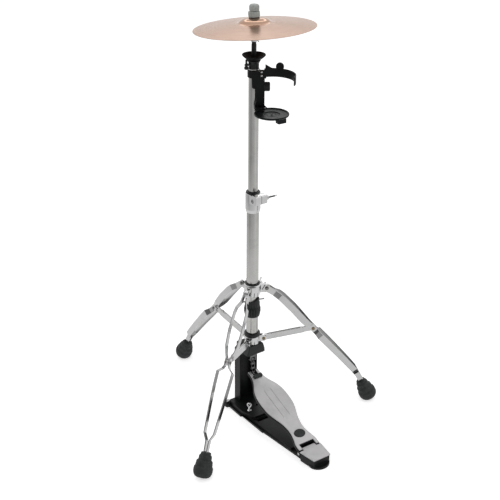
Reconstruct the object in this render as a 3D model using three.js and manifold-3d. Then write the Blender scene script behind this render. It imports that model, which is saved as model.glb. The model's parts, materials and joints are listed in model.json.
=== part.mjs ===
// Hi-hat stand with one cymbal. Millimetres, +Z up.
// The origin is on the floor, on the axis of the stand's tubes. The pedal runs along -Y to the heel.
import * as THREE from 'three';
import { mergeVertices } from 'three/addons/utils/BufferGeometryUtils.js';
import Module from 'manifold-3d';

const wasm = await Module();
wasm.setup();

// ---------------------------------------------------------------- driving dimensions
const GAP = 0.3; // free play between touching pieces
const ROUND = 24; // facets round a tube
const SMALL_ROUND = 10; // facets round a pin, screw or knob

const TUBE = {
  lowerRadius: 14, lowerBore: 12, lowerBottom: 165.3, lowerTop: 560,
  upperRadius: 11.1, upperBore: 9.5, upperBottom: 496, upperTop: 847,
};
const ROD = { radius: 3, hole: 3.6, bottom: 141, top: 972 };
const UPPER_TURN = THREE.MathUtils.degToRad(-34.9); // the upper fittings are turned on the tube

const BASE = { plateTop: 6, midTop: 10, deckTop: 16, heelTop: 21.7, heelEnd: -287, bolt: [-27, -29] };
const TOWER = { halfWidth: 25, front: 14, back: 37, wall: 3, top: 182, chamferZ: 160, chamferY: 21 };
const CAP = { bottom: 161, top: 186, front: -19, halfWidth: 25.5 };
const STRUT_COLLAR = { bottom: 186.4, top: 206, radius: 18 };
const LOWER_RING = { top: 214, radius: 18.7 };
const DIAL = { bottom: 259, rampLow: 290, rampHigh: 312, radius: 17.4, teeth: 5, toothDrop: 2.4, facets: 50 };
const SEAT = { pinRadius: 2, pinTip: 29, startAngle: -20, pinAngle: 20 };
const RAMP = DIAL.rampHigh - DIAL.rampLow;
const SEAT_REST = DIAL.rampLow + (RAMP * (SEAT.pinAngle - SEAT.startAngle)) / 180 + SEAT.pinRadius + 0.4;
const SPRING = { top: 391, wire: 2.2, radius: 8.6, coils: 6 };
const LEG_COLLAR = { bottom: 313, top: 343, radius: 19.5, lowRadius: 17, screwAzimuth: 20, screwZ: 331 };
const CLAMP = { bottom: 523, top: 569, radius: 16.9, boltY: -19.6, boltZ: 557.5, earX: 15.3, earTop: 571 };

const LEG = {
  azimuths: { front: -146.6, right: -26.6, left: 93.4 },
  hub: { r: 32.5, z: 331 }, knee: { r: 145, z: 214 }, thickness: 2.4, pinRadius: 2.5,
};
const STRUT = { inner: { r: 26.7, z: 197 }, height: 12, thickness: 7.2, endThickness: 4 };
const FOOT = { neck: { r: 268.5, z: 54 }, lean: 28 };

const PEDAL = {
  hingeY: -229, hingeZ: 17, slope: 19.9, topOffset: 8.7, plate: 2.4, tray: 6.4, length: 243, pinRadius: 2.5,
};
const CHAIN = { topZ: 138.5, toeS: 240, toeH: 3.2, links: 3, pinRadius: 2, plateRadius: 4.8, eye: 3.2 };

const CYMBAL = {
  radius: 127, rimZ: 933.7, crown: 21.4, bowRise: 10.5, thickness: 1.4, hole: 6.4, bellRadius: 34,
  leanX: -4.9, leanY: -0.55, feltBore: 5,
};
const CLUTCH = {
  sleeveBottom: 842, sleeveTop: 905, sleeveRadius: 5.25, bodyTop: 939.2, bodyRadius: 7, screwAzimuth: -38,
};
const CUP = {
  rimZ: 878, rimRadius: 25, neckZ: 868.3, neckRadius: 10, hole: 7, baseTop: 866, baseRadius: 10.75,
};
const TILT = {
  azimuth: -152, r: 17.5, radius: 2.2, top: 869.4, knobRadius: 4.9, knobBottom: 847.6, knobTop: 856.5,
  lug: 4.5,
};

const HOLDER = {
  bandBottom: 830, bandTop: 846, bandRadius: 13.4, plateBack: -13.6, plateFront: -16.2, spineBottom: 763,
  ringX: 40, ringY: -50, ringRadius: 45, wall: 2.4, armBottom: 832, armTop: 850.5,
  knobX: 13.4, knobY: -10, knobZ: 812.4,
  dishX: 37.4, dishY: -46, dishRadius: 36.7, dishTop: 767, dishBottom: 762, hingeY: -20,
};

const FINISH = {
  chrome: { color: 0xc9c9cb, roughness: 0.18, metalness: 1 },
  satin: { color: 0xb9b9bc, roughness: 0.38, metalness: 1 },
  steel: { color: 0xa8a8a8, roughness: 0.3, metalness: 1 },
  brass: { color: 0xa8874a, roughness: 0.35, metalness: 1 },
  bronze: { color: 0xd3ab92, roughness: 0.3, metalness: 1 },
  black: { color: 0x1c1e1f, roughness: 0.45, metalness: 0 },
  blackPlastic: { color: 0x242627, roughness: 0.55, metalness: 0 },
  rubber: { color: 0x272a2a, roughness: 0.85, metalness: 0 },
  felt: { color: 0xa3a7a3, roughness: 0.95, metalness: 0 },
};

// ---------------------------------------------------------------- geometry helpers
const rad = THREE.MathUtils.degToRad;
const polar = (r, degrees) => [r * Math.cos(rad(degrees)), r * Math.sin(rad(degrees))];

/** Shared vertices merged, flat triangles dropped and faces turned outwards. */
function tidy(geometry) {
  const bare = geometry.clone();
  for (const name of Object.keys(bare.attributes)) {
    if (name !== 'position') bare.deleteAttribute(name);
  }
  const merged = mergeVertices(bare, 1e-4);
  const corners = merged.getAttribute('position');
  const source = merged.getIndex().array;
  const kept = [];
  let volume = 0;
  const [a, b, c] = [new THREE.Vector3(), new THREE.Vector3(), new THREE.Vector3()];
  for (let i = 0; i < source.length; i += 3) {
    const [p, q, r] = [source[i], source[i + 1], source[i + 2]];
    if (p === q || q === r || r === p) continue;
    a.fromBufferAttribute(corners, p);
    b.fromBufferAttribute(corners, q);
    c.fromBufferAttribute(corners, r);
    volume += a.dot(b.cross(c));
    kept.push(p, q, r);
  }
  if (volume < 0) {
    for (let i = 0; i < kept.length; i += 3) [kept[i + 1], kept[i + 2]] = [kept[i + 2], kept[i + 1]];
  }
  merged.setIndex(kept);
  return merged;
}

function toSolid(geometry) {
  const closed = tidy(geometry);
  const vertProperties = new Float32Array(closed.getAttribute('position').array);
  const triVerts = new Uint32Array(closed.getIndex().array);
  return new wasm.Manifold(new wasm.Mesh({ numProp: 3, vertProperties, triVerts }));
}

function toGeometry(solid) {
  const mesh = solid.getMesh();
  const geometry = new THREE.BufferGeometry();
  geometry.setAttribute('position', new THREE.BufferAttribute(new Float32Array(mesh.vertProperties), 3));
  geometry.setIndex(new THREE.BufferAttribute(new Uint32Array(mesh.triVerts), 1));
  return geometry;
}

/** All the first shapes joined, less all the second ones. */
function carve(added, removed = []) {
  let solid = toSolid(added[0]);
  for (const shape of added.slice(1)) solid = solid.add(toSolid(shape));
  for (const shape of removed) solid = solid.subtract(toSolid(shape));
  return toGeometry(solid);
}

function block([x0, x1], [y0, y1], [z0, z1]) {
  const geometry = new THREE.BoxGeometry(x1 - x0, y1 - y0, z1 - z0);
  return geometry.translate((x0 + x1) / 2, (y0 + y1) / 2, (z0 + z1) / 2);
}

/** A cylinder or cone from one point to another. */
function rod(from, to, startRadius, endRadius = startRadius, facets = SMALL_ROUND) {
  const start = new THREE.Vector3(...from);
  const end = new THREE.Vector3(...to);
  const along = end.clone().sub(start);
  const geometry = new THREE.CylinderGeometry(endRadius, startRadius, along.length(), facets);
  const turn = new THREE.Quaternion().setFromUnitVectors(new THREE.Vector3(0, 1, 0), along.normalize());
  return geometry.applyQuaternion(turn).translate(...start.add(end).multiplyScalar(0.5).toArray());
}

/** A profile of [radius, height] points turned about Z. It closes on itself or ends on the axis. */
function turned(profile, facets = ROUND) {
  const points = profile.map(([r, z]) => new THREE.Vector2(r, z));
  return new THREE.LatheGeometry(points, facets).rotateX(Math.PI / 2);
}

function ring(inner, outer, bottom, top, facets = ROUND) {
  return turned([[inner, bottom], [outer, bottom], [outer, top], [inner, top], [inner, bottom]], facets);
}

/** The space that the lower tube needs in a piece that holds it. */
function tubeHole(bottom, top) {
  const radius = TUBE.lowerRadius + GAP;
  return rod([0, 0, bottom], [0, 0, top], radius, radius, ROUND);
}

function outline(points) {
  return new THREE.Shape(points.map(([x, y]) => new THREE.Vector2(x, y)));
}

/** An outline in the XY plane, raised from one height to another. */
function slab(points, bottom, top) {
  const shape = Array.isArray(points) ? outline(points) : points;
  const options = { depth: top - bottom, bevelEnabled: false, curveSegments: 6 };
  return new THREE.ExtrudeGeometry(shape, options).translate(0, 0, bottom);
}

/** An outline in the (first axis, Z) plane, extruded between two values of the other level axis. */
function sidePlate(points, low, high) {
  const geometry = slab(points, -high, -low);
  return geometry.rotateX(Math.PI / 2);
}

/** A bar that follows stations of { r, z, half, offset } in a leg's upright plane. */
function bentBar(stations, thickness, grow = 0) {
  const geometry = new THREE.BoxGeometry(1, 1, 1, stations.length - 1, 1, 1);
  const corners = geometry.getAttribute('position');
  for (let i = 0; i < corners.count; i += 1) {
    const k = Math.round((corners.getX(i) + 0.5) * (stations.length - 1));
    const here = stations[k];
    const before = stations[Math.max(k - 1, 0)];
    const after = stations[Math.min(k + 1, stations.length - 1)];
    const along = new THREE.Vector2(after.r - before.r, after.z - before.z).normalize();
    const across = Math.sign(corners.getY(i)) * (here.half + grow);
    const side = here.offset + Math.sign(corners.getZ(i)) * (thickness / 2 + grow);
    corners.setXYZ(i, here.r - along.y * across, side, here.z + along.x * across);
  }
  return geometry;
}

/** A wing screw's head and shank along +X, from the shank's tip at x = 0. */
function wingScrew(shankLength, shankRadius, hubRadius, hubLength, span, wingRise) {
  const end = shankLength + hubLength;
  const wing = (side) => {
    const points = [
      [side * hubRadius * 0.5, shankLength + hubLength * 0.2],
      [side * span, end + wingRise * 0.3],
      [side * span * 1.06, end + wingRise * 0.75],
      [side * span * 0.8, end + wingRise],
      [side * hubRadius * 0.5, end],
    ];
    return slab(points.map(([across, along]) => [along, across]), -1.3, 1.3);
  };
  return carve([
    rod([0, 0, 0], [shankLength + 0.5, 0, 0], shankRadius),
    rod([shankLength, 0, 0], [end, 0, 0], hubRadius),
    wing(1),
    wing(-1),
  ]);
}

// ---------------------------------------------------------------- the scene graph
const hiHat = new THREE.Group();
const upperFittings = new THREE.Group();
upperFittings.rotation.z = UPPER_TURN;
hiHat.add(upperFittings);

function add(name, finish, geometry, parent = hiHat) {
  const mesh = new THREE.Mesh(tidy(geometry), new THREE.MeshStandardMaterial(FINISH[finish]));
  mesh.name = name;
  parent.add(mesh);
  return mesh;
}

// ---------------------------------------------------------------- base, tower and cap
function heelRound(halfWidth, y, end) {
  const shape = new THREE.Shape();
  shape.moveTo(halfWidth, y);
  shape.absellipse(0, y, halfWidth, y - end, 0, Math.PI, true);
  return shape.getPoints(10).map((point) => [point.x, point.y]);
}

function basePlate() {
  const heel = heelRound(25, -266, BASE.heelEnd);
  const foot = [[40, 39], [46, 34], [46, -20], [42, -20], [40, -102], [37.5, -102], [25, -223]];
  const mirrored = foot.map(([x, y]) => [-x, y]).reverse();
  const plate = slab([...foot, ...heel, ...mirrored], 0, BASE.plateTop);
  const lugs = [-1, 1].map((side) => rod([side * 46, 36, 0], [side * 46, 36, 11], 7));
  const mid = [[38, -16], [35, -100], [27, -196], [-27, -196], [-35, -100], [-38, -16]];
  const deck = [[40, 37.5], [42, 30], [42, -18], [34, -48], [29, -57]];
  const mirroredDeck = deck.map(([x, y]) => [-x, y]).reverse();
  const well = [[30, -60], [29.4, -70], [-29.4, -70], [-30, -60]];
  const heelBoss = [[21.5, -276], [29, -240], [29, -234.5], [-29, -234.5], [-29, -240], [-21.5, -276]];
  const { hingeY, hingeZ, pinRadius } = PEDAL;
  const knuckle = block([-17.8, 17.8], [-242, hingeY + 6], [BASE.plateTop - 1, BASE.heelTop]);
  const hingeHole = rod([-40, hingeY, hingeZ], [40, hingeY, hingeZ], pinRadius + GAP);
  const spurHoles = [-1, 1].map((side) => rod([side * 46, 36, -1], [side * 46, 36, 20], 3.3));
  return carve(
    [
      plate,
      ...lugs,
      slab(mid, 1, BASE.midTop),
      slab([...deck, ...mirroredDeck], 1, BASE.deckTop),
      slab(heelBoss, 1, BASE.heelTop),
      knuckle,
    ],
    [
      hingeHole,
      ...spurHoles,
      slab(well, BASE.plateTop, 30),
      rod([2.6, -18, BASE.deckTop - 8], [2.6, -18, 30], 3.5),
      rod([...BASE.bolt, BASE.deckTop - 9], [...BASE.bolt, 30], 2.8),
    ],
  );
}

function tower() {
  const { halfWidth, front, back, wall, top, chamferZ, chamferY } = TOWER;
  const floor = BASE.deckTop + GAP;
  const side = [[front, floor], [back, floor], [back, chamferZ], [chamferY, top], [front, top]];
  const full = sidePlate(side, -halfWidth, halfWidth).rotateZ(Math.PI / 2);
  const inside = halfWidth - wall;
  const openTop = block([-halfWidth - 1, halfWidth + 1], [front - 1, back + 1], [CAP.top - 8, top + 1]);
  return carve([full], [block([-inside, inside], [front - 1, back - wall], [0, 200]), openTop]);
}

function towerCap() {
  const { bottom, top, front, halfWidth } = CAP;
  const inner = TOWER.halfWidth - TOWER.wall - GAP;
  const rear = TOWER.back - TOWER.wall - GAP;
  const neck = TOWER.front - GAP;
  const half = [
    [inner, rear], [inner, neck], [halfWidth, neck], [halfWidth, front + 3], [halfWidth - 2.5, front],
  ];
  const points = [...half, ...half.map(([x, y]) => [-x, y]).reverse()];
  const slope = (angle, z) => block([-60, 60], [-60, 60], [0, 40]).rotateX(angle).translate(0, 0, z);
  const socket = tubeHole(TUBE.lowerBottom - GAP, top + 1);
  const rodHole = rod([0, 0, bottom - 1], [0, 0, top], ROD.hole);
  const sides = [-1, 1].map((side) => {
    const cheek = block([0, 40], [-60, 60], [-40, 60]).rotateY(rad(-17)).translate(halfWidth, 0, bottom + 3);
    return side < 0 ? cheek.rotateZ(Math.PI) : cheek;
  });
  const brow = slope(rad(-30), top + 8.5).translate(0, 5, 0);
  return carve([slab(points, bottom, top)], [socket, rodHole, brow, ...sides]);
}

function spur() {
  return carve([
    rod([0, 0, 1.2], [0, 0, 4], 0.6, 3),
    rod([0, 0, 4], [0, 0, 15], 3),
    rod([0, 0, 15], [0, 0, 17], 4.4),
  ]);
}

function addBase() {
  add('base_plate', 'black', basePlate());
  add('tower', 'black', tower());
  add('tower_cap', 'blackPlastic', towerCap());
  for (const [name, side] of [['spur_left', -1], ['spur_right', 1]]) {
    const mesh = add(name, 'steel', spur());
    mesh.position.set(side * 46, 36, 0);
  }
  const screw = add('base_wing_bolt', 'chrome', wingScrew(20, 2.4, 4, 6, 8, 5).rotateY(-Math.PI / 2));
  screw.position.set(...BASE.bolt, BASE.deckTop - 8);
  screw.rotation.z = rad(35);
}

// ---------------------------------------------------------------- tubes, clamp and collars
function lowerTube() {
  const slotTop = SEAT_REST + 14;
  const slots = [0, 180].map((turn) =>
    block([5, 16], [-2.5, 2.5], [SEAT_REST - 6.5, slotTop]).rotateZ(UPPER_TURN + rad(SEAT.pinAngle + turn)));
  return carve([ring(TUBE.lowerBore, TUBE.lowerRadius, TUBE.lowerBottom, TUBE.lowerTop)], slots);
}

function clampBody() {
  const { bottom, top, radius, boltY, boltZ, earX, earTop } = CLAMP;
  const taper = turned([[0, bottom], [15.2, bottom], [radius, bottom + 7], [radius, top], [0, top]]);
  const ears = block([-earX, earX], [-33.5, -4], [bottom + 28, top - GAP]);
  const step = block([-earX, earX], [-33.5, -17.8], [top - 9, earTop]);
  return carve(
    [taper, ears, step],
    [
      tubeHole(bottom - 1, top + 1),
      block([-0.5, 0.5], [-40, -5], [bottom - 1, earTop + 1]),
      rod([-20, boltY, boltZ], [20, boltY, boltZ], 3.3),
      block([-20, -12.4], [boltY - 4.8, boltY + 4.8], [boltZ - 4.8, boltZ + 4.8]),
    ],
  );
}

function clampBush() {
  const seat = TUBE.lowerTop + GAP;
  const inner = TUBE.upperRadius + GAP;
  const lip = CLAMP.top + GAP;
  const profile = [[inner, seat], [13.9, seat], [13.9, lip], [16, lip], [15.4, lip + 3], [inner, lip + 3]];
  return turned([...profile, [inner, seat]]);
}

function clampBolt() {
  return carve([
    rod([-13, 0, 0], [15.5, 0, 0], 3),
    new THREE.CylinderGeometry(4.2, 4.2, 2.2, 6).rotateZ(Math.PI / 2).translate(-13.8, 0, 0),
    rod([15, 0, 0], [25, 0, 0], 2.4),
  ]);
}

function clampWingNut() {
  const shape = wingScrew(1, 5.2, 5.2, 11, 15, 16);
  return carve([shape], [rod([-1, 0, 0], [10.8, 0, 0], 2.4 + GAP)]);
}

/** A lug or pair of ears that reaches out from a collar towards a leg. */
function collarEar(azimuth, [y0, y1], pivot, reach, height, drop) {
  const body = block([13, pivot.r], [y0, y1], [pivot.z - drop, pivot.z + height]);
  const nose = rod([pivot.r, y0, pivot.z], [pivot.r, y1, pivot.z], reach);
  return carve([body, nose]).rotateZ(rad(azimuth));
}

function pinHole(azimuth, pivot, radius) {
  return rod([pivot.r, -14, pivot.z], [pivot.r, 14, pivot.z], radius).rotateZ(rad(azimuth));
}

function strutCollar() {
  const { bottom, top, radius } = STRUT_COLLAR;
  const sides = [[-7.2, -4.1], [4.1, 7.2]];
  const azimuths = Object.values(LEG.azimuths);
  const ears = azimuths.flatMap((azimuth) =>
    sides.map((side) => collarEar(azimuth, side, STRUT.inner, 7, 7, 7)));
  const slots = azimuths.map((azimuth) =>
    block([radius + 0.5, 40], [-4.1, 4.1], [bottom - 1, top + 1]).rotateZ(rad(azimuth)));
  const holes = azimuths.map((azimuth) => pinHole(azimuth, STRUT.inner, 2.3));
  const band = rod([0, 0, bottom], [0, 0, top], radius, radius, ROUND);
  return carve([band, ...ears], [tubeHole(bottom - 1, top + 1), ...slots, ...holes]);
}

function legCollar() {
  const { bottom, top, radius, lowRadius } = LEG_COLLAR;
  const body = turned([[0, bottom], [lowRadius, bottom], [radius, bottom + 12], [radius, top - 2],
    [radius - 2, top], [0, top]]);
  const azimuths = Object.values(LEG.azimuths);
  const lugs = azimuths.map((azimuth) => collarEar(azimuth, [-4.4, 4.4], LEG.hub, 8, 8, 12));
  const holes = azimuths.map((azimuth) => pinHole(azimuth, LEG.hub, LEG.pinRadius + GAP));
  const boss = rod([12, 0, 331], [25, 0, 331], 6.5).rotateZ(rad(LEG_COLLAR.screwAzimuth));
  const screwHole = rod([10, 0, 331], [30, 0, 331], 3.3).rotateZ(rad(LEG_COLLAR.screwAzimuth));
  return carve([body, ...lugs, boss], [tubeHole(bottom - 1, top + 1), ...holes, screwHole]);
}

function pivotPin(pivot, halfLength, headRadius) {
  const at = (y) => [pivot.r, y, pivot.z];
  const shank = rod(at(-halfLength), at(halfLength), LEG.pinRadius);
  const heads = [-1, 1].map((side) =>
    rod(at(side * halfLength), at(side * (halfLength + 1.8)), headRadius, headRadius * 0.7));
  return carve([shank, ...heads]);
}

// ---------------------------------------------------------------- tension dial and return spring
/** Two opposite toothed ramps, each half a turn, carry the two ends of the seat's pin. */
function dialTop(angle) {
  const start = SEAT.startAngle + THREE.MathUtils.radToDeg(UPPER_TURN);
  const turnedAngle = THREE.MathUtils.euclideanModulo(angle - start, 180);
  const step = 180 / DIAL.teeth;
  const withinTooth = (turnedAngle % step) / step;
  const crestLine = DIAL.rampLow + (RAMP * turnedAngle) / 180;
  return crestLine - DIAL.toothDrop * (1 - withinTooth);
}

function tensionDial() {
  const inner = TUBE.lowerRadius + GAP;
  const { bottom, radius, rampLow } = DIAL;
  const profile = [
    [inner, bottom], [radius - 1, bottom], [radius, bottom + 3], [radius, rampLow], [inner, rampLow],
    [inner, bottom],
  ];
  const geometry = turned(profile, DIAL.facets);
  const corners = geometry.getAttribute('position');
  for (let i = 0; i < corners.count; i += 1) {
    if (corners.getZ(i) > rampLow - 0.01) {
      const angle = THREE.MathUtils.radToDeg(Math.atan2(corners.getY(i), corners.getX(i)));
      corners.setZ(i, dialTop(angle + 0.01));
    }
  }
  return geometry;
}

function springSeat() {
  const top = SEAT_REST + SEAT.pinRadius;
  const seat = ring(ROD.hole, TUBE.lowerBore - GAP, SEAT_REST - SEAT.pinRadius, top);
  const stub = rod([8, 0, SEAT_REST], [SEAT.pinTip, 0, SEAT_REST], SEAT.pinRadius);
  const stubs = [0, 180].map((turn) => stub.clone().rotateZ(UPPER_TURN + rad(SEAT.pinAngle + turn)));
  return carve([seat, ...stubs]);
}

function returnSpring() {
  const { top, wire, radius, coils } = SPRING;
  const bottom = SEAT_REST + SEAT.pinRadius + GAP;
  const rise = top - GAP - bottom - wire;
  const points = [];
  for (let k = 0; k <= coils * 9; k += 1) {
    const part = k / (coils * 9);
    const [x, y] = polar(radius, 360 * coils * part);
    points.push(new THREE.Vector3(x, y, bottom + wire / 2 + rise * part));
  }
  const section = new THREE.Shape().absarc(0, 0, wire / 2, 0, Math.PI * 2);
  return new THREE.ExtrudeGeometry(section, {
    steps: coils * 9, curveSegments: 2, bevelEnabled: false, extrudePath: new THREE.CatmullRomCurve3(points),
  });
}

function addTubes() {
  add('lower_tube', 'chrome', lowerTube());
  add('lower_ring', 'blackPlastic',
    ring(TUBE.lowerRadius + GAP, LOWER_RING.radius, STRUT_COLLAR.top + GAP, LOWER_RING.top));
  add('clamp_body', 'chrome', clampBody());
  add('clamp_bush', 'blackPlastic', clampBush());
  add('clamp_bolt', 'steel', clampBolt()).position.set(0, CLAMP.boltY, CLAMP.boltZ);
  const nut = add('clamp_wing_nut', 'chrome', clampWingNut());
  nut.position.set(15.9, CLAMP.boltY, CLAMP.boltZ);
  nut.rotation.x = rad(-25);
  add('tension_dial', 'blackPlastic', tensionDial());
  add('spring_seat', 'steel', springSeat());
  add('return_spring', 'steel', returnSpring());
}

// ---------------------------------------------------------------- legs
/** The centre line of a leg strap, with its half width and its distance from the leg's middle plane. */
function strapStations(side) {
  const stations = [
    [25.5, 333.5, 8.2, 6], [40, 324.5, 7.4, 6], [50.5, 316.7, 6.9, 6.8], [62.7, 308.4, 7.3, 13],
    [71.2, 300.1, 7.7, 14.4], [98.7, 269.1, 7.9, 15.4], [120, 241.5, 8, 13.4], [131, 228.5, 7.6, 9],
    [138.5, 221, 7.2, 5.1], [150, 207.5, 7, 5.1], [154.5, 202.5, 6.6, 8.5], [160.5, 197, 7.6, 18],
    [182, 172.5, 7.6, 17.2], [209.5, 140, 7.5, 15.2], [233, 111.5, 7.5, 12.9], [249, 91.5, 7.3, 11.4],
    [257, 78, 6.8, 3.6], [266, 62, 6.4, 3.2], [276, 44, 6, 3.2],
  ];
  return stations.map(([r, z, half, offset]) => ({ r, z, half, offset: side * offset }));
}

function legStrap(side) {
  const bar = bentBar(strapStations(side), LEG.thickness);
  return carve([bar], [pinHole(0, LEG.hub, LEG.pinRadius + GAP)]);
}

function footBoot() {
  const profile = [[0, 0], [11.4, 0], [12, 4], [14.4, 8], [14.9, 15], [18.4, 20], [19.2, 29],
    [21.6, 33.5], [21.8, 42], [20.4, 48], [15.5, 54.5], [0, 55]];
  const boot = turned(profile, 16).rotateY(Math.PI - rad(FOOT.lean)).translate(FOOT.neck.r, 0, FOOT.neck.z);
  const pockets = [-1, 1].map((side) => {
    const inside = strapStations(side).slice(-3);
    return bentBar(inside, LEG.thickness, GAP);
  });
  const floor = block([200, 400], [-60, 60], [-50, 0]);
  return carve([boot], [...pockets, floor]);
}

function strut() {
  const { inner, height, thickness, endThickness } = STRUT;
  const outer = LEG.knee;
  const angle = Math.atan2(outer.z - inner.z, outer.r - inner.r);
  const length = Math.hypot(outer.r - inner.r, outer.z - inner.z);
  const half = height / 2;
  const bar = carve(
    [
      block([0, length - 24], [-thickness / 2, thickness / 2], [-half, half]),
      rod([0, -thickness / 2, 0], [0, thickness / 2, 0], half),
      block([length - 25, length], [-endThickness / 2, endThickness / 2], [-half, half]),
      rod([length, -endThickness / 2, 0], [length, endThickness / 2, 0], half),
    ],
    [
      rod([0, -10, 0], [0, 10, 0], 2.3),
      block([10, length - 30], [-thickness / 2 + 1.8, thickness / 2 - 1.8], [half - 1.6, half + 1]),
    ],
  );
  return bar.rotateY(-angle).translate(inner.r, 0, inner.z);
}

function addLegs() {
  add('strut_collar', 'chrome', strutCollar());
  add('leg_collar', 'chrome', legCollar());
  add('leg_collar_ring', 'blackPlastic',
    ring(TUBE.lowerRadius + GAP, 17.4, LEG_COLLAR.top + GAP, LEG_COLLAR.top + 3.4));
  const screw = add('leg_collar_screw', 'chrome', wingScrew(13, 3, 4.4, 7, 10, 8));
  screw.position.set(...polar(15.5, LEG_COLLAR.screwAzimuth), LEG_COLLAR.screwZ);
  screw.rotation.order = 'ZXY';
  screw.rotation.set(rad(60), 0, rad(LEG_COLLAR.screwAzimuth));
  for (const [name, azimuth] of Object.entries(LEG.azimuths)) {
    const leg = new THREE.Group();
    leg.rotation.z = rad(azimuth);
    hiHat.add(leg);
    add(`leg_${name}_strap_a`, 'satin', legStrap(-1), leg);
    add(`leg_${name}_strap_b`, 'satin', legStrap(1), leg);
    add(`leg_${name}_foot`, 'rubber', footBoot(), leg);
    add(`leg_${name}_strut`, 'satin', strut(), leg);
    add(`leg_${name}_pin`, 'brass', pivotPin(LEG.hub, 7.6, 4.6), leg);
  }
}

// ---------------------------------------------------------------- pedal, chain and pull rod
/** Half widths of the footboard at distances from the hinge end to the toe. */
const BOARD_SIDES = [
  [0, 29], [18, 28.5], [33, 24], [50, 20.6], [66, 21], [84, 25], [101, 31.5], [120, 37.6], [140, 39.4],
  [158, 39.2], [174, 36.8], [190, 31], [206, 22], [222, 16], [PEDAL.length - 7, 14.4], [PEDAL.length, 15],
];

function boardOutline(grow) {
  const right = BOARD_SIDES.map(([s, half]) => [half + grow, s]);
  right[0][1] -= grow;
  right[right.length - 1][1] += grow;
  const slot = [[-7.4, PEDAL.length + grow], [-7.4, 229], [7.4, 229], [7.4, PEDAL.length + grow]].reverse();
  const left = right.map(([x, y]) => [-x, y]).reverse();
  const notch = [[-18.4, -grow], [-18.4, 15], [18.4, 15], [18.4, -grow]];
  return [...right, ...slot, ...left, ...notch];
}

function footboardPlate() {
  const top = PEDAL.topOffset;
  return slab(boardOutline(-1), top - PEDAL.plate, top);
}

function footboardTray() {
  const top = PEDAL.topOffset - PEDAL.plate - GAP;
  const underside = top - PEDAL.tray;
  const knuckles = [-1, 1].flatMap((side) => {
    const [x0, x1] = side < 0 ? [-29, -18.4] : [18.4, 29];
    return [rod([x0, 0, 0], [x1, 0, 0], 5.2), block([x0, x1], [-1, 8], [-2, top])];
  });
  const toePin = rod([-9, CHAIN.toeS, CHAIN.toeH], [9, CHAIN.toeS, CHAIN.toeH], CHAIN.pinRadius);
  return carve(
    [slab(boardOutline(0), underside, top), ...knuckles, toePin],
    [rod([-40, 0, 0], [40, 0, 0], PEDAL.pinRadius + GAP)],
  );
}

function toePad() {
  const shape = new THREE.Shape();
  const [halfX, halfY, corner] = [10, 4.4, 2.6];
  shape.moveTo(-halfX + corner, -halfY);
  shape.lineTo(halfX - corner, -halfY);
  shape.quadraticCurveTo(halfX, -halfY, halfX, -halfY + corner);
  shape.lineTo(halfX, halfY - corner);
  shape.quadraticCurveTo(halfX, halfY, halfX - corner, halfY);
  shape.lineTo(-halfX + corner, halfY);
  shape.quadraticCurveTo(-halfX, halfY, -halfX, halfY - corner);
  shape.lineTo(-halfX, -halfY + corner);
  shape.quadraticCurveTo(-halfX, -halfY, -halfX + corner, -halfY);
  return slab(shape, 0, 3.4);
}

function heelPlate() {
  const points = [[30, -232.8], [23, -277], [-23, -277], [-30, -232.8], [-17.8, -232.8], [-17.8, -224],
    [17.8, -224], [17.8, -232.8]];
  return slab(points, BASE.heelTop + GAP, BASE.heelTop + GAP + 2.6);
}

/** The ends of the chain's links, from the clevis pin down to the footboard's toe pin. */
function chainPoints() {
  const slope = rad(PEDAL.slope);
  const toe = new THREE.Vector3(
    0,
    PEDAL.hingeY + CHAIN.toeS * Math.cos(slope) - CHAIN.toeH * Math.sin(slope),
    PEDAL.hingeZ + CHAIN.toeS * Math.sin(slope) + CHAIN.toeH * Math.cos(slope),
  );
  const top = new THREE.Vector3(0, 0, CHAIN.topZ);
  return Array.from({ length: CHAIN.links + 1 }, (_, k) => top.clone().lerp(toe, k / CHAIN.links));
}

/** Inner links have bushes with bores; outer links have pins that turn in those bores. */
function chainLink(index) {
  const points = chainPoints();
  const [from, to] = [points[index], points[index + 1]];
  const across = (point, x0, x1, radius) => rod([x0, point.y, point.z], [x1, point.y, point.z], radius);
  const isInner = index % 2 === 0;
  const inside = isInner ? 2.6 : 4.4;
  const outside = inside + 1.5;
  const span = from.distanceTo(to);
  const tilt = Math.atan2(to.y - from.y, from.z - to.z);
  const middle = from.clone().add(to).multiplyScalar(0.5);
  const plates = [[-outside, -inside], [inside, outside]].flatMap(([x0, x1]) => [
    across(from, x0, x1, CHAIN.plateRadius),
    across(to, x0, x1, CHAIN.plateRadius),
    block([x0, x1], [-3.2, 3.2], [-span / 2, span / 2]).rotateX(tilt).translate(0, middle.y, middle.z),
  ]);
  if (!isInner) {
    const pins = [from, to].map((end) => across(end, -outside, outside, CHAIN.pinRadius));
    return carve([...plates, ...pins]);
  }
  const bushes = [from, to].map((end) => across(end, -inside, inside, 3.9));
  const bore = CHAIN.pinRadius + GAP;
  const lowerBore = index === CHAIN.links - 1 ? CHAIN.eye : bore;
  return carve([...plates, ...bushes], [across(from, -9, 9, bore), across(to, -9, 9, lowerBore)]);
}

function rodClevis() {
  const { topZ, pinRadius } = CHAIN;
  const ears = [-1, 1].map((side) => {
    const [x0, x1] = side < 0 ? [-8.2, -5] : [5, 8.2];
    return carve([block([x0, x1], [-5, 5], [topZ, topZ + 9]), rod([x0, 0, topZ], [x1, 0, topZ], 5)]);
  });
  const yoke = block([-8.2, 8.2], [-5, 5], [topZ + 6.6, topZ + 12]);
  return carve(
    [...ears, yoke, rod([-9, 0, topZ], [9, 0, topZ], pinRadius)],
    [rod([0, 0, topZ + 5], [0, 0, topZ + 14], ROD.radius + GAP)],
  );
}

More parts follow.
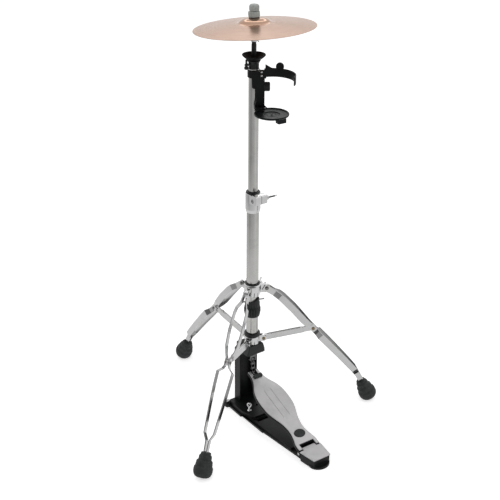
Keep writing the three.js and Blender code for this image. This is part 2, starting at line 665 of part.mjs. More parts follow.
function pullRod() {
  const bottom = CHAIN.topZ + 7;
  return carve([
    rod([0, 0, bottom], [0, 0, ROD.top], ROD.radius),
    rod([0, 0, SPRING.top], [0, 0, SPRING.top + 4], TUBE.lowerBore - 1, TUBE.lowerBore - 1, ROUND),
  ]);
}

function addPedal() {
  const board = new THREE.Group();
  board.position.set(0, PEDAL.hingeY, PEDAL.hingeZ);
  board.rotation.x = rad(PEDAL.slope);
  hiHat.add(board);
  add('footboard_plate', 'satin', footboardPlate(), board);
  add('footboard_tray', 'black', footboardTray(), board);
  add('toe_pad', 'rubber', toePad(), board).position.set(2, 221, PEDAL.topOffset + GAP);
  add('heel_plate', 'satin', heelPlate());
  add('hinge_pin', 'steel', rod([-30.5, 0, 0], [30.5, 0, 0], PEDAL.pinRadius))
    .position.set(0, PEDAL.hingeY, PEDAL.hingeZ);
  for (let k = 0; k < CHAIN.links; k += 1) add(`chain_link_${k + 1}`, 'steel', chainLink(k));
  add('rod_clevis', 'chrome', rodClevis());
  add('pull_rod', 'steel', pullRod());
}

// ---------------------------------------------------------------- cymbal, clutch and felts
/** The sheet's local origin is the top of the bell, where it hangs on the rod. */
function cymbalSheet() {
  const { radius, thickness, hole, bellRadius, crown, bowRise } = CYMBAL;
  const bow = (r) => bowRise * (1 - ((r - bellRadius) / (radius - bellRadius)) ** 1.15) - crown;
  const bell = [[bellRadius, -10], [29, -5.8], [20, -1.8], [hole, 0]];
  const over = [...[radius, 98, 68, 42].map((r) => [r, bow(r)]), ...bell];
  const under = over.map(([r, z]) => [r, z - thickness]).reverse();
  return turned([...over, ...under, over[0]], 40);
}

function addCymbal() {
  const { rimZ, leanX, leanY, crown, thickness, feltBore } = CYMBAL;
  const lean = new THREE.Group();
  lean.position.set(0, 0, rimZ + crown);
  lean.rotation.set(rad(leanX), rad(leanY), 0);
  hiHat.add(lean);
  add('cymbal', 'bronze', cymbalSheet(), lean);
  const below = -thickness - GAP;
  const above = [[feltBore, GAP], [11.4, GAP], [12, 4], [11.6, 11.6], [feltBore, 11.6], [feltBore, GAP]];
  const under = [
    [feltBore, -14], [10.4, -14], [11.6, -10], [10.4, below - 0.8], [feltBore, below], [feltBore, -14],
  ];
  add('felt_upper', 'felt', turned(above, 20), lean);
  add('felt_lower', 'felt', turned(under, 20), lean);
}

function addClutch() {
  const { sleeveBottom, sleeveTop, sleeveRadius, bodyTop, bodyRadius } = CLUTCH;
  const bore = ROD.radius + GAP;
  add('clutch_sleeve', 'black', ring(bore, sleeveRadius, sleeveBottom, sleeveTop, 20));
  const screwZ = sleeveTop + 6.5;
  const body = carve(
    [
      rod([0, 0, sleeveTop + GAP], [0, 0, bodyTop], bodyRadius, bodyRadius, 20),
      rod([0, 0, bodyTop - 2.4], [0, 0, bodyTop], 11.6, 11.6, 20),
    ],
    [
      rod([0, 0, sleeveTop - 1], [0, 0, bodyTop + 1], bore, bore, 20),
      rod([0, 0, screwZ], [20, 0, screwZ], 2.5).rotateZ(UPPER_TURN + rad(CLUTCH.screwAzimuth)),
    ],
  );
  add('clutch_body', 'chrome', body);
  const screw = add('clutch_screw', 'chrome', wingScrew(4.5, 2.1, 3.2, 3, 5.4, 3.4), upperFittings);
  screw.position.set(...polar(3.7, CLUTCH.screwAzimuth), screwZ);
  screw.rotation.order = 'ZXY';
  screw.rotation.set(rad(70), 0, rad(CLUTCH.screwAzimuth));
  const nutBottom = CYMBAL.rimZ + CYMBAL.crown + 13.6;
  const nut = turned([
    [0, nutBottom + 12], [8.6, nutBottom + 12], [10.2, nutBottom + 9.5], [10.4, nutBottom + 2],
    [9.6, nutBottom], [3.4, nutBottom], [3.4, ROD.top + GAP], [0, ROD.top + GAP],
  ], 20);
  add('top_nut', 'felt', nut);
}

// ---------------------------------------------------------------- seat cup on the upper tube
function seatCup() {
  const { rimZ, rimRadius, neckZ, neckRadius, hole } = CUP;
  return turned([
    [hole, neckZ], [neckRadius, neckZ], [neckRadius + 1.5, neckZ + 1.4], [rimRadius - 0.6, rimZ - 2.2],
    [rimRadius, rimZ - 1], [rimRadius - 0.6, rimZ], [rimRadius - 1.8, rimZ - 0.2], [hole + 3, neckZ + 2.6],
    [hole, neckZ + 2.6], [hole, neckZ],
  ]);
}

function cupBase() {
  const { baseRadius, baseTop, hole } = CUP;
  const shoulder = TUBE.upperTop + GAP;
  const spigot = TUBE.upperBore - GAP;
  const body = turned([
    [hole, shoulder - 12], [spigot, shoulder - 12], [spigot, shoulder], [baseRadius, shoulder],
    [baseRadius, baseTop], [hole, baseTop], [hole, shoulder - 12],
  ]);
  const lug = carve([
    block([8, TILT.r], [-4, 4], [baseTop - TILT.lug, baseTop]),
    rod([TILT.r, 0, baseTop - TILT.lug], [TILT.r, 0, baseTop], 4),
  ]).rotateZ(rad(TILT.azimuth));
  const [x, y] = polar(TILT.r, TILT.azimuth);
  const screwHole = rod([x, y, shoulder], [x, y, baseTop + 1], TILT.radius + GAP);
  return carve([body, lug], [screwHole, rod([0, 0, shoulder - 20], [0, 0, baseTop + 1], hole, hole, ROUND)]);
}

function tiltScrew() {
  const { radius, top, knobRadius, knobBottom, knobTop } = TILT;
  return turned([[0, knobBottom], [knobRadius - 1, knobBottom], [knobRadius, knobBottom + 1.2],
    [knobRadius, knobTop - 1.2], [knobRadius - 1, knobTop], [radius, knobTop], [radius, top - 1],
    [radius - 1, top], [0, top]], SMALL_ROUND);
}

function addSeat() {
  add('upper_tube', 'chrome', ring(TUBE.upperBore, TUBE.upperRadius, TUBE.upperBottom, TUBE.upperTop));
  add('cup_base', 'blackPlastic', cupBase(), upperFittings);
  add('seat_cup', 'blackPlastic', seatCup(), upperFittings);
  add('tilt_screw', 'blackPlastic', tiltScrew(), upperFittings)
    .position.set(...polar(TILT.r, TILT.azimuth), 0);
}

// ---------------------------------------------------------------- bottle holder on the upper tube
function holderBracket() {
  const { bandBottom, bandTop, bandRadius, plateBack, plateFront, spineBottom, hingeY, dishTop } = HOLDER;
  const band = rod([0, 0, bandBottom], [0, 0, bandTop], bandRadius, bandRadius, ROUND);
  const plate = sidePlate([[-4.6, bandTop], [-4.6, 828], [-2, 812], [6.4, 804], [6.4, spineBottom],
    [22.8, spineBottom], [22.8, bandTop]], plateFront, plateBack + 0.2);
  const bridge = block([-4.6, 12.6], [plateBack - 1, -8], [bandBottom, bandTop]);
  const boss = block([13, 22.8], [plateFront + 0.5, -3], [806, 822]);
  const knuckles = [[6.4, 11.2], [18, 22.8]].map(([x0, x1]) => carve([
    rod([x0, hingeY, dishTop], [x1, hingeY, dishTop], 3.4),
    block([x0, x1], [hingeY, plateFront + 1], [dishTop - 3.4, dishTop + 3.4]),
  ]));
  return carve(
    [band, plate, bridge, boss, ...knuckles],
    [
      rod([0, 0, 700], [0, 0, 900], TUBE.upperRadius + GAP, TUBE.upperRadius + GAP, ROUND),
      rod([10, HOLDER.knobY, HOLDER.knobZ], [30, HOLDER.knobY, HOLDER.knobZ], 2.8),
      rod([0, hingeY, dishTop], [30, hingeY, dishTop], 1.9),
    ],
  );
}

function holderArm() {
  const { ringX, ringY, ringRadius, armBottom, armTop, plateFront, wall } = HOLDER;
  const height = armTop - armBottom;
  const arc = new THREE.Shape();
  arc.absarc(0, 0, ringRadius + wall / 2, rad(-22), rad(114), false);
  arc.absarc(0, 0, ringRadius - wall / 2, rad(114), rad(-22), true);
  const band = new THREE.ExtrudeGeometry(arc, { depth: height, bevelEnabled: false, curveSegments: 14 })
    .translate(ringX, ringY, armBottom);
  const start = plateFront - GAP;
  const tail = block([12.4, 25.2], [start - wall, start], [armBottom, armTop]);
  const cornerY = ringY + ringRadius * Math.sin(rad(113));
  const web = block([23.2, 25.6], [start - wall, cornerY + 1.5], [armBottom, armTop]);
  const spike = sidePlate([[0, -1], [0, 8.5], [14, 0.2], [14, -1]], -wall / 2, wall / 2)
    .rotateZ(rad(12)).translate(23.9, cornerY + 0.6, armTop);
  const [lugX, lugY] = polar(ringRadius, 72);
  const lug = rod([0, -2.4, 0], [0, 2.4, 0], 8.4, 8.4, ROUND)
    .rotateZ(rad(-18)).translate(ringX + lugX, ringY + lugY, armTop + 4);
  return carve([band, tail, web, spike, lug]);
}

function holderKnob() {
  const grip = new THREE.Shape();
  const lobes = 6;
  for (let k = 0; k < lobes * 3; k += 1) {
    const angle = (k / (lobes * 3)) * Math.PI * 2;
    const r = 8.1 + 0.5 * Math.cos(angle * lobes);
    if (k === 0) grip.moveTo(r, 0);
    else grip.lineTo(r * Math.cos(angle), r * Math.sin(angle));
  }
  const options = { depth: 8.6, bevelSize: 1, bevelThickness: 1, bevelSegments: 1, curveSegments: 1 };
  const head = new THREE.ExtrudeGeometry(grip, options).translate(0, 0, 1).rotateY(Math.PI / 2);
  return carve([head.translate(10.2, 0, 0), rod([0, 0, 0], [11, 0, 0], 2.5)]);
}

function holderDish() {
  const { dishX, dishY, dishRadius, dishTop, dishBottom, hingeY } = HOLDER;
  const floor = dishBottom + 1.8;
  const bowl = turned([
    [0, dishBottom], [dishRadius - 2.5, dishBottom], [dishRadius, dishBottom + 1.2],
    [dishRadius, dishTop - 0.6],
    [dishRadius - 0.6, dishTop], [dishRadius - 2.4, dishTop], [dishRadius - 3.6, floor + 1.4],
    [24, floor + 1], [22.6, floor], [0, floor],
  ], 32).translate(dishX, dishY, 0);
  const clip = block([29, 41], [-8.5, 8.5], [dishBottom - 10, dishBottom + 3.4])
    .rotateZ(rad(-50)).translate(dishX, dishY, 0);
  const tongue = block([11.6, 17.6], [hingeY - 6, hingeY], [dishTop - 3.2, dishTop + 0.4]);
  const knuckle = rod([11.6, hingeY, dishTop], [17.6, hingeY, dishTop], 3.4);
  const pin = rod([6.8, hingeY, dishTop], [22.4, hingeY, dishTop], 1.6);
  const bowlCut = carve([bowl, clip], [block([-10, 24], [hingeY - 4, 10], [700, 800])]);
  return carve([bowlCut, tongue, knuckle, pin]);
}

function addHolder() {
  add('holder_bracket', 'black', holderBracket(), upperFittings);
  add('holder_arm', 'black', holderArm(), upperFittings);
  add('holder_knob', 'blackPlastic', holderKnob(), upperFittings)
    .position.set(HOLDER.knobX, HOLDER.knobY, HOLDER.knobZ);
  add('holder_dish', 'black', holderDish(), upperFittings);
}

addBase();
addTubes();
addLegs();
addPedal();
addCymbal();
addClutch();
addSeat();
addHolder();

export default hiHat;
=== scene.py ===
"""Hi-hat stand with one cymbal: the visible pieces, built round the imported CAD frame."""

import json
import math

import bmesh
import bpy
import numpy as np
from mathutils import Matrix, Quaternion, Vector

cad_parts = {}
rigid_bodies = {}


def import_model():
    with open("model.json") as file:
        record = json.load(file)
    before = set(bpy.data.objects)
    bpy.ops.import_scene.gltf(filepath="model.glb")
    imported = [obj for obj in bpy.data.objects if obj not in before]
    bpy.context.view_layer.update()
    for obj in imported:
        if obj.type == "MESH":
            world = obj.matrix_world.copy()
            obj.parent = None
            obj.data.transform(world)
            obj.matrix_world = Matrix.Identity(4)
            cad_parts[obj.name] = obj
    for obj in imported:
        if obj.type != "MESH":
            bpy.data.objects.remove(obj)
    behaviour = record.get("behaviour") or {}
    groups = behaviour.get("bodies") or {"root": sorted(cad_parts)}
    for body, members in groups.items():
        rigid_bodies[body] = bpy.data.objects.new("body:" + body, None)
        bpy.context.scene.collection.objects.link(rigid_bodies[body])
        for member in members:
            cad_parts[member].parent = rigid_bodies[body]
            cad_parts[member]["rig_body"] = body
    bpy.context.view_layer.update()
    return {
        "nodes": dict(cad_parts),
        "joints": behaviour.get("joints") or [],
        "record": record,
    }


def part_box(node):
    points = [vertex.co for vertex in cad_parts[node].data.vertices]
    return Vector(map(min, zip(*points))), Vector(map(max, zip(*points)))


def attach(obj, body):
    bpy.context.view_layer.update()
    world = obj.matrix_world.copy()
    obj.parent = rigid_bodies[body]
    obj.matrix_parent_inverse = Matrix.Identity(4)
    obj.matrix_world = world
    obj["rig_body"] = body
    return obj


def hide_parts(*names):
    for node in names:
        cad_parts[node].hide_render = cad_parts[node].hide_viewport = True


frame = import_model()

MM = 0.001
UP = Vector((0, 0, 1))
JOINT = {joint["name"]: joint for joint in frame["joints"]}
SLOT = {row["node"]: row["material_slot"] for row in frame["record"]["subparts"]}
LEGS = ("front", "right", "left")
CAMERA_PLACE = (-1.1956, -1.7125, 1.4740)  # metres
CAMERA_PITCH, CAMERA_ROLL = 26.6185, -0.30  # degrees
LENS = 74.68  # millimetres, for a 36 mm sensor
FLOOR_GLOW = 0.50  # the floor's own light, as the camera sees it
ROOM_LIGHT = 0.62  # the white studio's light on everything that is not a mirror
TO_CAMERA = Vector((-0.5701, -0.8216, 0))  # level direction from the stand to the camera
CAMERA_RIGHT = Vector((0.8216, -0.5701, 0))
DARK_ROOM = TO_CAMERA + Vector((0, 0, 0.36))  # the unlit room behind the camera, as metal reflects it
GREY_SIDE = (-1.0, 0.1, -0.05)  # the room's greyer wall
ROUND_LAMP = -TO_CAMERA + Vector((0, 0, 0.93))  # the lamp that the cymbal mirrors
ROUND = 96  # facets round a large turned piece
FINE = 40  # facets round a pin or rivet
STANDING = Matrix(((1, 0, 0, 0), (0, 0, -1, 0), (0, 1, 0, 0), (0, 0, 0, 1)))  # a plan stood up, facing -Y
ACROSS = Matrix(((0, 0, 1, 0), (1, 0, 0, 0), (0, 1, 0, 0), (0, 0, 0, 1)))  # a plan in Y and Z, facing +X


# ---------------------------------------------------------------- reading the frame
def span(node):
    """Lowest and highest corner of a CAD node, in millimetres."""
    low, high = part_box(node)
    return low / MM, high / MM


def body_of(node):
    return frame["nodes"][node]["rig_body"]


def pivot(joint):
    """A joint's point and axis, in millimetres."""
    return Vector(JOINT[joint]["pos_m"]) / MM, Vector(JOINT[joint]["axis"]).normalized()


def local_frame(origin, z_axis, x_hint):
    """A frame in millimetres with its Z along z_axis and its X near x_hint."""
    z = Vector(z_axis).normalized()
    y = z.cross(Vector(x_hint)).normalized()
    turn = Matrix((y.cross(z), y, z)).transposed().to_4x4()
    return Matrix.Translation(Vector(origin)) @ turn


def points_in(node, place):
    """A CAD node's corners in a local frame, in millimetres, as an array."""
    inverse = place.inverted()
    return np.array([inverse @ (v.co / MM) for v in frame["nodes"][node].data.vertices])


# ---------------------------------------------------------------- outlines and profiles
def rounded(points, radius, steps=4, closed=True):
    """A polyline with each corner turned into a small arc."""
    line = [Vector(p) for p in points]
    count = len(line)
    made = []
    for k, corner in enumerate(line):
        if not closed and k in (0, count - 1):
            made.append(tuple(corner))
            continue
        before = line[k - 1] - corner
        after = line[(k + 1) % count] - corner
        if min(before.length, after.length) < 1e-6 or before.angle(after) > math.radians(172):
            made.append(tuple(corner))
            continue
        reach = min(radius, before.length * 0.48, after.length * 0.48)
        start = corner + before.normalized() * reach
        end = corner + after.normalized() * reach
        for step in range(steps + 1):
            t = step / steps
            made.append(tuple(start * (1 - t) ** 2 + corner * 2 * t * (1 - t) + end * t * t))
    return made


def curved(points, steps=6, sharp=35, closed=True):
    """A smooth line through points that keeps the corners sharper than an angle."""
    line = [Vector(p) for p in points]
    count = len(line)

    def is_corner(k):
        if not closed and k in (0, count - 1):
            return True
        before = line[k] - line[k - 1]
        after = line[(k + 1) % count] - line[k]
        return before.angle(after, 0) > math.radians(sharp)

    made = []
    for k in range(count if closed else count - 1):
        a, b = line[k], line[(k + 1) % count]
        before = a - (b - a) if is_corner(k) else line[k - 1]
        after = b + (b - a) if is_corner((k + 1) % count) else line[(k + 2) % count]
        for step in range(steps):
            t = step / steps
            made.append(tuple(0.5 * (2 * a + (b - before) * t + (2 * before - 5 * a + 4 * b - after) * t * t
                                     + (3 * a - before - 3 * b + after) * t ** 3)))
    if not closed:
        made.append(tuple(line[-1]))
    return made


def circle(radius, count=FINE, centre=(0, 0)):
    return [(centre[0] + radius * math.cos(2 * math.pi * k / count),
             centre[1] + radius * math.sin(2 * math.pi * k / count)) for k in range(count)]


def offset(points, grow):
    """A closed outline moved outwards."""
    line = [Vector(p) for p in points]
    area = sum(a.x * b.y - b.x * a.y for a, b in zip(line, line[1:] + line[:1]))
    side = 1 if area > 0 else -1
    made = []
    for k, point in enumerate(line):
        ahead = (line[(k + 1) % len(line)] - point).normalized()
        behind = (point - line[k - 1]).normalized()
        normals = [Vector((d.y, -d.x)) * side for d in (ahead, behind)]
        middle = (normals[0] + normals[1]).normalized()
        made.append(tuple(point + middle * grow / max(0.5, middle.dot(normals[0]))))
    return made


# ---------------------------------------------------------------- shapes as (corners, faces), in millimetres
def lathe(profile, count=ROUND, ripple=None):
    """A profile of (radius, height) turned about Z. It closes on itself or ends on the axis."""
    closed = tuple(profile[0]) == tuple(profile[-1])
    rows = profile[:-1] if closed else profile
    corners, faces, rings = [], [], []
    for row, (r, z) in enumerate(rows):
        start = len(corners)
        if r < 1e-6:
            corners.append((0, 0, z))
            rings.append([start])
            continue
        for k in range(count):
            angle = 2 * math.pi * k / count
            reach, height = ripple(row, angle, r, z) if ripple else (r, z)
            corners.append((reach * math.cos(angle), reach * math.sin(angle), height))
        rings.append(list(range(start, start + count)))
    for low, high in zip(rings, rings[1:] + (rings[:1] if closed else [])):
        for k in range(count):
            m = (k + 1) % count
            if len(low) > 1 and len(high) > 1:
                faces.append((low[k], low[m], high[m], high[k]))
            elif len(high) > 1:
                faces.append((low[0], high[m], high[k]))
            elif len(low) > 1:
                faces.append((low[k], low[m], high[0]))
    return corners, faces


def spun(points, edge=0.4, steps=3, count=ROUND, ripple=None):
    """A rounded profile turned about Z. One that starts on the axis ends there; any other is closed."""
    closed = points[0][0] > 0
    line = rounded(points, edge, steps, closed)
    return lathe([*line, line[0]] if closed else line, count, ripple)


def disc(radius, bottom, top, edge=0.0, count=FINE):
    line = [(0, bottom), (radius, bottom), (radius, top), (0, top)]
    return spun(line, edge, 3, count) if edge else lathe(line, count)


def prism(outline, bottom, top):
    count = len(outline)
    corners = [(*p, bottom) for p in outline] + [(*p, top) for p in outline]
    sides = [(k, (k + 1) % count, count + (k + 1) % count, count + k) for k in range(count)]
    return corners, [tuple(reversed(range(count))), tuple(range(count, 2 * count)), *sides]


def block(x, y, z):
    return prism([(x[0], y[0]), (x[1], y[0]), (x[1], y[1]), (x[0], y[1])], *z)


def placed(shape, place):
    corners, faces = shape
    return [tuple(place @ Vector(c)) for c in corners], faces


def along(shape, origin, axis, x_hint=(0, 0, 1)):
    return placed(shape, local_frame(origin, axis, x_hint))


# ---------------------------------------------------------------- objects
def as_object(name, shape, place=None):
    """An object in metres whose own origin is the local frame, so textures follow the piece."""
    corners, faces = shape
    mesh = bpy.data.meshes.new(name)
    mesh.from_pydata([Vector(c) * MM for c in corners], [], faces)
    built = bmesh.new()
    built.from_mesh(mesh)
    bmesh.ops.recalc_face_normals(built, faces=built.faces)
    built.to_mesh(mesh)
    built.free()
    obj = bpy.data.objects.new(name, mesh)
    bpy.context.scene.collection.objects.link(obj)
    if place is not None:
        turn = place.copy()
        turn.translation = place.translation * MM
        obj.matrix_world = turn
    return obj


def bake(obj):
    """The object's modifiers become its mesh."""
    graph = bpy.context.evaluated_depsgraph_get()
    mesh = bpy.data.meshes.new_from_object(obj.evaluated_get(graph))
    obj.modifiers.clear()
    obj.data = mesh
    return obj


def carved(name, added, removed=(), place=None):
    """One closed piece: the first shapes joined, less the second ones."""
    obj = as_object(name, added[0], place)
    tools = []
    for shape, operation in [*((s, "UNION") for s in added[1:]), *((s, "DIFFERENCE") for s in removed)]:
        tool = as_object(name + "_tool", shape, place)
        step = obj.modifiers.new("step", "BOOLEAN")
        step.operation = operation
        step.solver = "EXACT"
        step.object = tool
        tools.append(tool)
    if tools:
        bake(obj)
    for tool in tools:
        bpy.data.objects.remove(tool)
    return obj


def copied(name, node):
    """A CAD node's own shape, welded and with its flat faces whole."""
    mesh = frame["nodes"][node].data.copy()
    mesh.name = name
    built = bmesh.new()
    built.from_mesh(mesh)
    bmesh.ops.remove_doubles(built, verts=built.verts, dist=1e-6)
    bmesh.ops.dissolve_limit(built, angle_limit=math.radians(1), verts=built.verts, edges=built.edges)
    built.to_mesh(mesh)
    built.free()
    for layer in ("custom_normal", "sharp_face"):
        if layer in mesh.attributes:
            mesh.attributes.remove(mesh.attributes[layer])
    obj = bpy.data.objects.new(name, mesh)
    bpy.context.scene.collection.objects.link(obj)
    return obj


def eased(obj, width, steps=2, angle=35):
    """Rounds the edges sharper than an angle."""
    bevel = obj.modifiers.new("edges", "BEVEL")
    bevel.width = width * MM
    bevel.segments = steps
    bevel.limit_method = "ANGLE"
    bevel.angle_limit = math.radians(angle)
    bevel.use_clamp_overlap = False
    bevel.harden_normals = True
    return obj


def piece(obj, body, material, slot=None, replaces=(), smooth=34):
    """Gives a piece its finish, its body and the CAD nodes it stands for."""
    for polygon in obj.data.polygons:
        polygon.use_smooth = True
    obj.data.set_sharp_from_angle(angle=math.radians(smooth))
    obj.data.materials.clear()
    obj.data.materials.append(material)
    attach(obj, body)
    if replaces:
        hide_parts(*replaces)
    return obj


def stands_for(node, obj, material, **more):
    return piece(obj, body_of(node), material, SLOT[node], (node,), **more)


def turned(node, name, material, points, edge=0.4, steps=3, count=ROUND, place=None, ripple=None, **more):
    """A turned piece that stands for a CAD node."""
    return stands_for(node, as_object(name, spun(points, edge, steps, count, ripple), place), material,
                      **more)


# ---------------------------------------------------------------- materials
def dot_with(tree, source, direction):
    """How closely a direction socket points along a fixed direction."""
    made = tree.nodes.new("ShaderNodeVectorMath")
    made.operation = "DOT_PRODUCT"
    made.inputs[1].default_value = Vector(direction).normalized()
    tree.links.new(source, made.inputs[0])
    return made.outputs["Value"]


def ramp_of(tree, source, *stops):
    """Maps a value to a colour or a grey through (position, colour) stops."""
    made = tree.nodes.new("ShaderNodeValToRGB")
    elements = made.color_ramp.elements
    while len(elements) < len(stops):
        elements.new(0.5)
    for element, (position, value) in zip(elements, stops):
        element.position = position
        element.color = (*value, 1) if isinstance(value, tuple) else (value, value, value, 1)
    tree.links.new(source, made.inputs["Fac"])
    return made.outputs["Color"]


def math_of(tree, operation, a, b):
    made = tree.nodes.new("ShaderNodeMath")
    made.operation = operation
    for socket, value in zip(made.inputs, (a, b)):
        if isinstance(value, (int, float)):
            socket.default_value = value
        else:
            tree.links.new(value, socket)
    return made.outputs[0]


class Nodes:
    """A small builder for one material's node tree."""

    def __init__(self, name):
        self.material = bpy.data.materials.new(name)
        self.material.use_nodes = True
        self.tree = self.material.node_tree
        self.shader = self.tree.nodes["Principled BSDF"]
        self.place = self.node("ShaderNodeTexCoord").outputs["Object"]

    def node(self, kind, **settings):
        made = self.tree.nodes.new(kind)
        for key, value in settings.items():
            setattr(made, key, value)
        return made

    def link(self, source, target):
        self.tree.links.new(source, target)
        return target

    def stretched(self, scale):
        mapping = self.node("ShaderNodeMapping")
        mapping.inputs["Scale"].default_value = scale
        self.link(self.place, mapping.inputs["Vector"])
        return mapping.outputs["Vector"]

    def noise(self, scale, detail=3.0, stretch=None, rough=0.55):
        made = self.node("ShaderNodeTexNoise")
        made.inputs["Scale"].default_value = scale
        made.inputs["Detail"].default_value = detail
        made.inputs["Roughness"].default_value = rough
        self.link(self.stretched(stretch) if stretch else self.place, made.inputs["Vector"])
        return made.outputs["Fac"]

    def ramp(self, source, *stops):
        return ramp_of(self.tree, source, *stops)

    def mix(self, kind, a, b, share):
        made = self.node("ShaderNodeMix", data_type="RGBA", blend_type=kind)
        made.inputs["Factor"].default_value = share if isinstance(share, float) else 1.0
        if not isinstance(share, float):
            self.link(share, made.inputs["Factor"])
        self.link(a, made.inputs["A"])
        self.link(b, made.inputs["B"])
        return made.outputs["Result"]

    def bump(self, *layers):
        """Adds bump layers of (height, strength, distance in millimetres)."""
        normal = None
        for height, strength, distance in layers:
            made = self.node("ShaderNodeBump")
            made.inputs["Strength"].default_value = strength
            made.inputs["Distance"].default_value = distance * MM
            self.link(height, made.inputs["Height"])
            if normal is not None:
                self.link(normal, made.inputs["Normal"])
            normal = made.outputs["Normal"]
        self.link(normal, self.shader.inputs["Normal"])

    def colour(self, source):
        self.link(source, self.shader.inputs["Base Color"])

    def roughness(self, source):
        self.link(source, self.shader.inputs["Roughness"])

    def fixed(self, **values):
        for key, value in values.items():
            self.shader.inputs[key.replace("_", " ")].default_value = value


def shade(colour, factor):
    return tuple(min(1.0, c * factor) for c in colour)


def metal(name, colour, rough, spread, grain=None, grain_depth=0.004, wear=0.12):
    """A plated or drawn metal with faint clouding, fine scratches and an optional brushed grain."""
    made = Nodes(name)
    cloud = made.noise(38, 4)
    fine = made.noise(420, 5, rough=0.65)
    made.colour(made.ramp(cloud, (0.30, shade(colour, 1 - wear)), (0.52, colour),
                          (0.75, shade(colour, 1 + wear / 3))))
    made.roughness(made.ramp(fine, (0.35, rough - spread), (0.70, rough + spread)))
    made.fixed(Metallic=1.0)
    layers = [(made.noise(900, 3), 0.04, 0.01)]
    if grain:
        layers.append((made.noise(1.0, 4, stretch=grain), 0.30, grain_depth))
    made.bump(*layers)
    return made.material


def plastic(name, colour, rough, grain_scale, grain_depth, spread=0.06, shine=0.4):
    """A moulded or powder-coated surface with a fine grain and faint handling marks."""
    made = Nodes(name)
    cloud = made.noise(55, 4)
    made.colour(made.ramp(cloud, (0.30, shade(colour, 0.82)), (0.60, colour), (0.80, shade(colour, 1.35))))
    made.roughness(made.ramp(made.noise(140, 4), (0.35, rough - spread), (0.70, rough + spread)))
    made.fixed(Metallic=0.0, IOR=1.45, Specular_IOR_Level=shine)
    made.bump((made.noise(grain_scale, 3), 0.35, grain_depth),
              (made.noise(grain_scale * 4, 2), 0.15, grain_depth / 2))
    return made.material


def rubber_material():
    made = Nodes("rubber")
    dust = made.noise(90, 5)
    made.colour(made.ramp(dust, (0.35, (0.012, 0.014, 0.014)), (0.62, (0.022, 0.025, 0.025)),
                          (0.85, (0.045, 0.048, 0.047))))
    made.roughness(made.ramp(made.noise(300, 3), (0.30, 0.62), (0.70, 0.85)))
    made.fixed(Metallic=0.0, IOR=1.5)
    made.bump((made.noise(700, 3), 0.45, 0.06))
    return made.material


def felt_material():
    """Pressed wool felt: a clouded grey with short loose fibres."""
    made = Nodes("felt")
    cloud = made.noise(260, 6, rough=0.7)
    fibres = made.noise(1.0, 5, stretch=(2200, 700, 900), rough=0.7)
    tint = made.ramp(cloud, (0.30, (0.255, 0.275, 0.255)), (0.55, (0.385, 0.405, 0.385)),
                     (0.80, (0.50, 0.515, 0.49)))
    made.colour(made.mix("MULTIPLY", tint, made.ramp(fibres, (0.30, 0.72), (0.65, 1.0)), 0.8))
    made.roughness(made.ramp(fibres, (0.3, 0.85), (0.7, 1.0)))
    made.fixed(Metallic=0.0, Sheen_Weight=0.35, Sheen_Roughness=0.6)
    made.bump((fibres, 0.7, 0.18), (made.noise(900, 4), 0.5, 0.12))
    return made.material


def bronze_material():
    """Polished bronze with lathe lines round the axis and faint handling haze."""
    made = Nodes("bronze")
    split = made.node("ShaderNodeSeparateXYZ")
    made.link(made.place, split.inputs["Vector"])
    length = made.node("ShaderNodeVectorMath", operation="LENGTH")
    flat = made.node("ShaderNodeCombineXYZ")
    made.link(split.outputs["X"], flat.inputs["X"])
    made.link(split.outputs["Y"], flat.inputs["Y"])
    made.link(flat.outputs["Vector"], length.inputs[0])
    radius = length.outputs["Value"]

    def rings(scale, detail):
        made_noise = made.node("ShaderNodeTexNoise", noise_dimensions="1D")
        made_noise.inputs["Scale"].default_value = scale
        made_noise.inputs["Detail"].default_value = detail
        made.link(radius, made_noise.inputs["W"])
        return made_noise.outputs["Fac"]

    haze = made.noise(16, 5, rough=0.6)
    tone = made.ramp(haze, (0.28, (0.425, 0.262, 0.185)), (0.50, (0.470, 0.298, 0.215)),
                     (0.78, (0.500, 0.332, 0.248)))
    lines = made.ramp(rings(900, 3), (0.36, 0.86), (0.60, 1.0))
    made.colour(made.mix("MULTIPLY", tone, lines, 0.8))
    bow = made.ramp(rings(1300, 2), (0.3, 0.22), (0.7, 0.34))
    share = math_of(made.tree, "MULTIPLY", radius, 1 / (60 * MM))
    satin = made.ramp(share, (0.50, 0.0), (0.72, 1.0))
    blend = made.node("ShaderNodeMix", data_type="RGBA")
    made.link(satin, blend.inputs["Factor"])
    blend.inputs["A"].default_value = (0.09, 0.09, 0.09, 1)
    made.link(bow, blend.inputs["B"])
    made.roughness(blend.outputs["Result"])
    made.fixed(Metallic=1.0)
    made.bump((rings(1500, 2), 0.30, 0.012), (rings(260, 2), 0.22, 0.03), (made.noise(30, 3), 0.05, 0.15))
    return made.material


CHROME = metal("chrome", (0.640, 0.640, 0.640), 0.10, 0.03, wear=0.04)
TUBE_CHROME = metal("tube_chrome", (0.520, 0.515, 0.500), 0.20, 0.04, grain=(900, 900, 40), grain_depth=0.003)
SATIN = metal("satin_steel", (0.585, 0.590, 0.590), 0.26, 0.05)
BOARD = metal("satin_board", (0.475, 0.468, 0.472), 0.40, 0.06, grain=(2400, 60, 60), grain_depth=0.006)
STRAP = metal("strap_chrome", (0.560, 0.563, 0.560), 0.15, 0.03, wear=0.05)
STEEL = metal("drawn_steel", (0.430, 0.430, 0.430), 0.26, 0.06)
CHAIN_STEEL = metal("chain_steel", (0.150, 0.150, 0.152), 0.22, 0.06)
BRASS = metal("dull_brass", (0.300, 0.215, 0.110), 0.34, 0.08, wear=0.25)
PIN_STEEL = metal("pin_steel", (0.190, 0.186, 0.178), 0.28, 0.06, wear=0.2)
BRONZE = bronze_material()
POWDER = plastic("powder_black", (0.0048, 0.0054, 0.0056), 0.40, 600, 0.04, shine=0.22)
NYLON = plastic("nylon_black", (0.0095, 0.0105, 0.0108), 0.44, 420, 0.04)
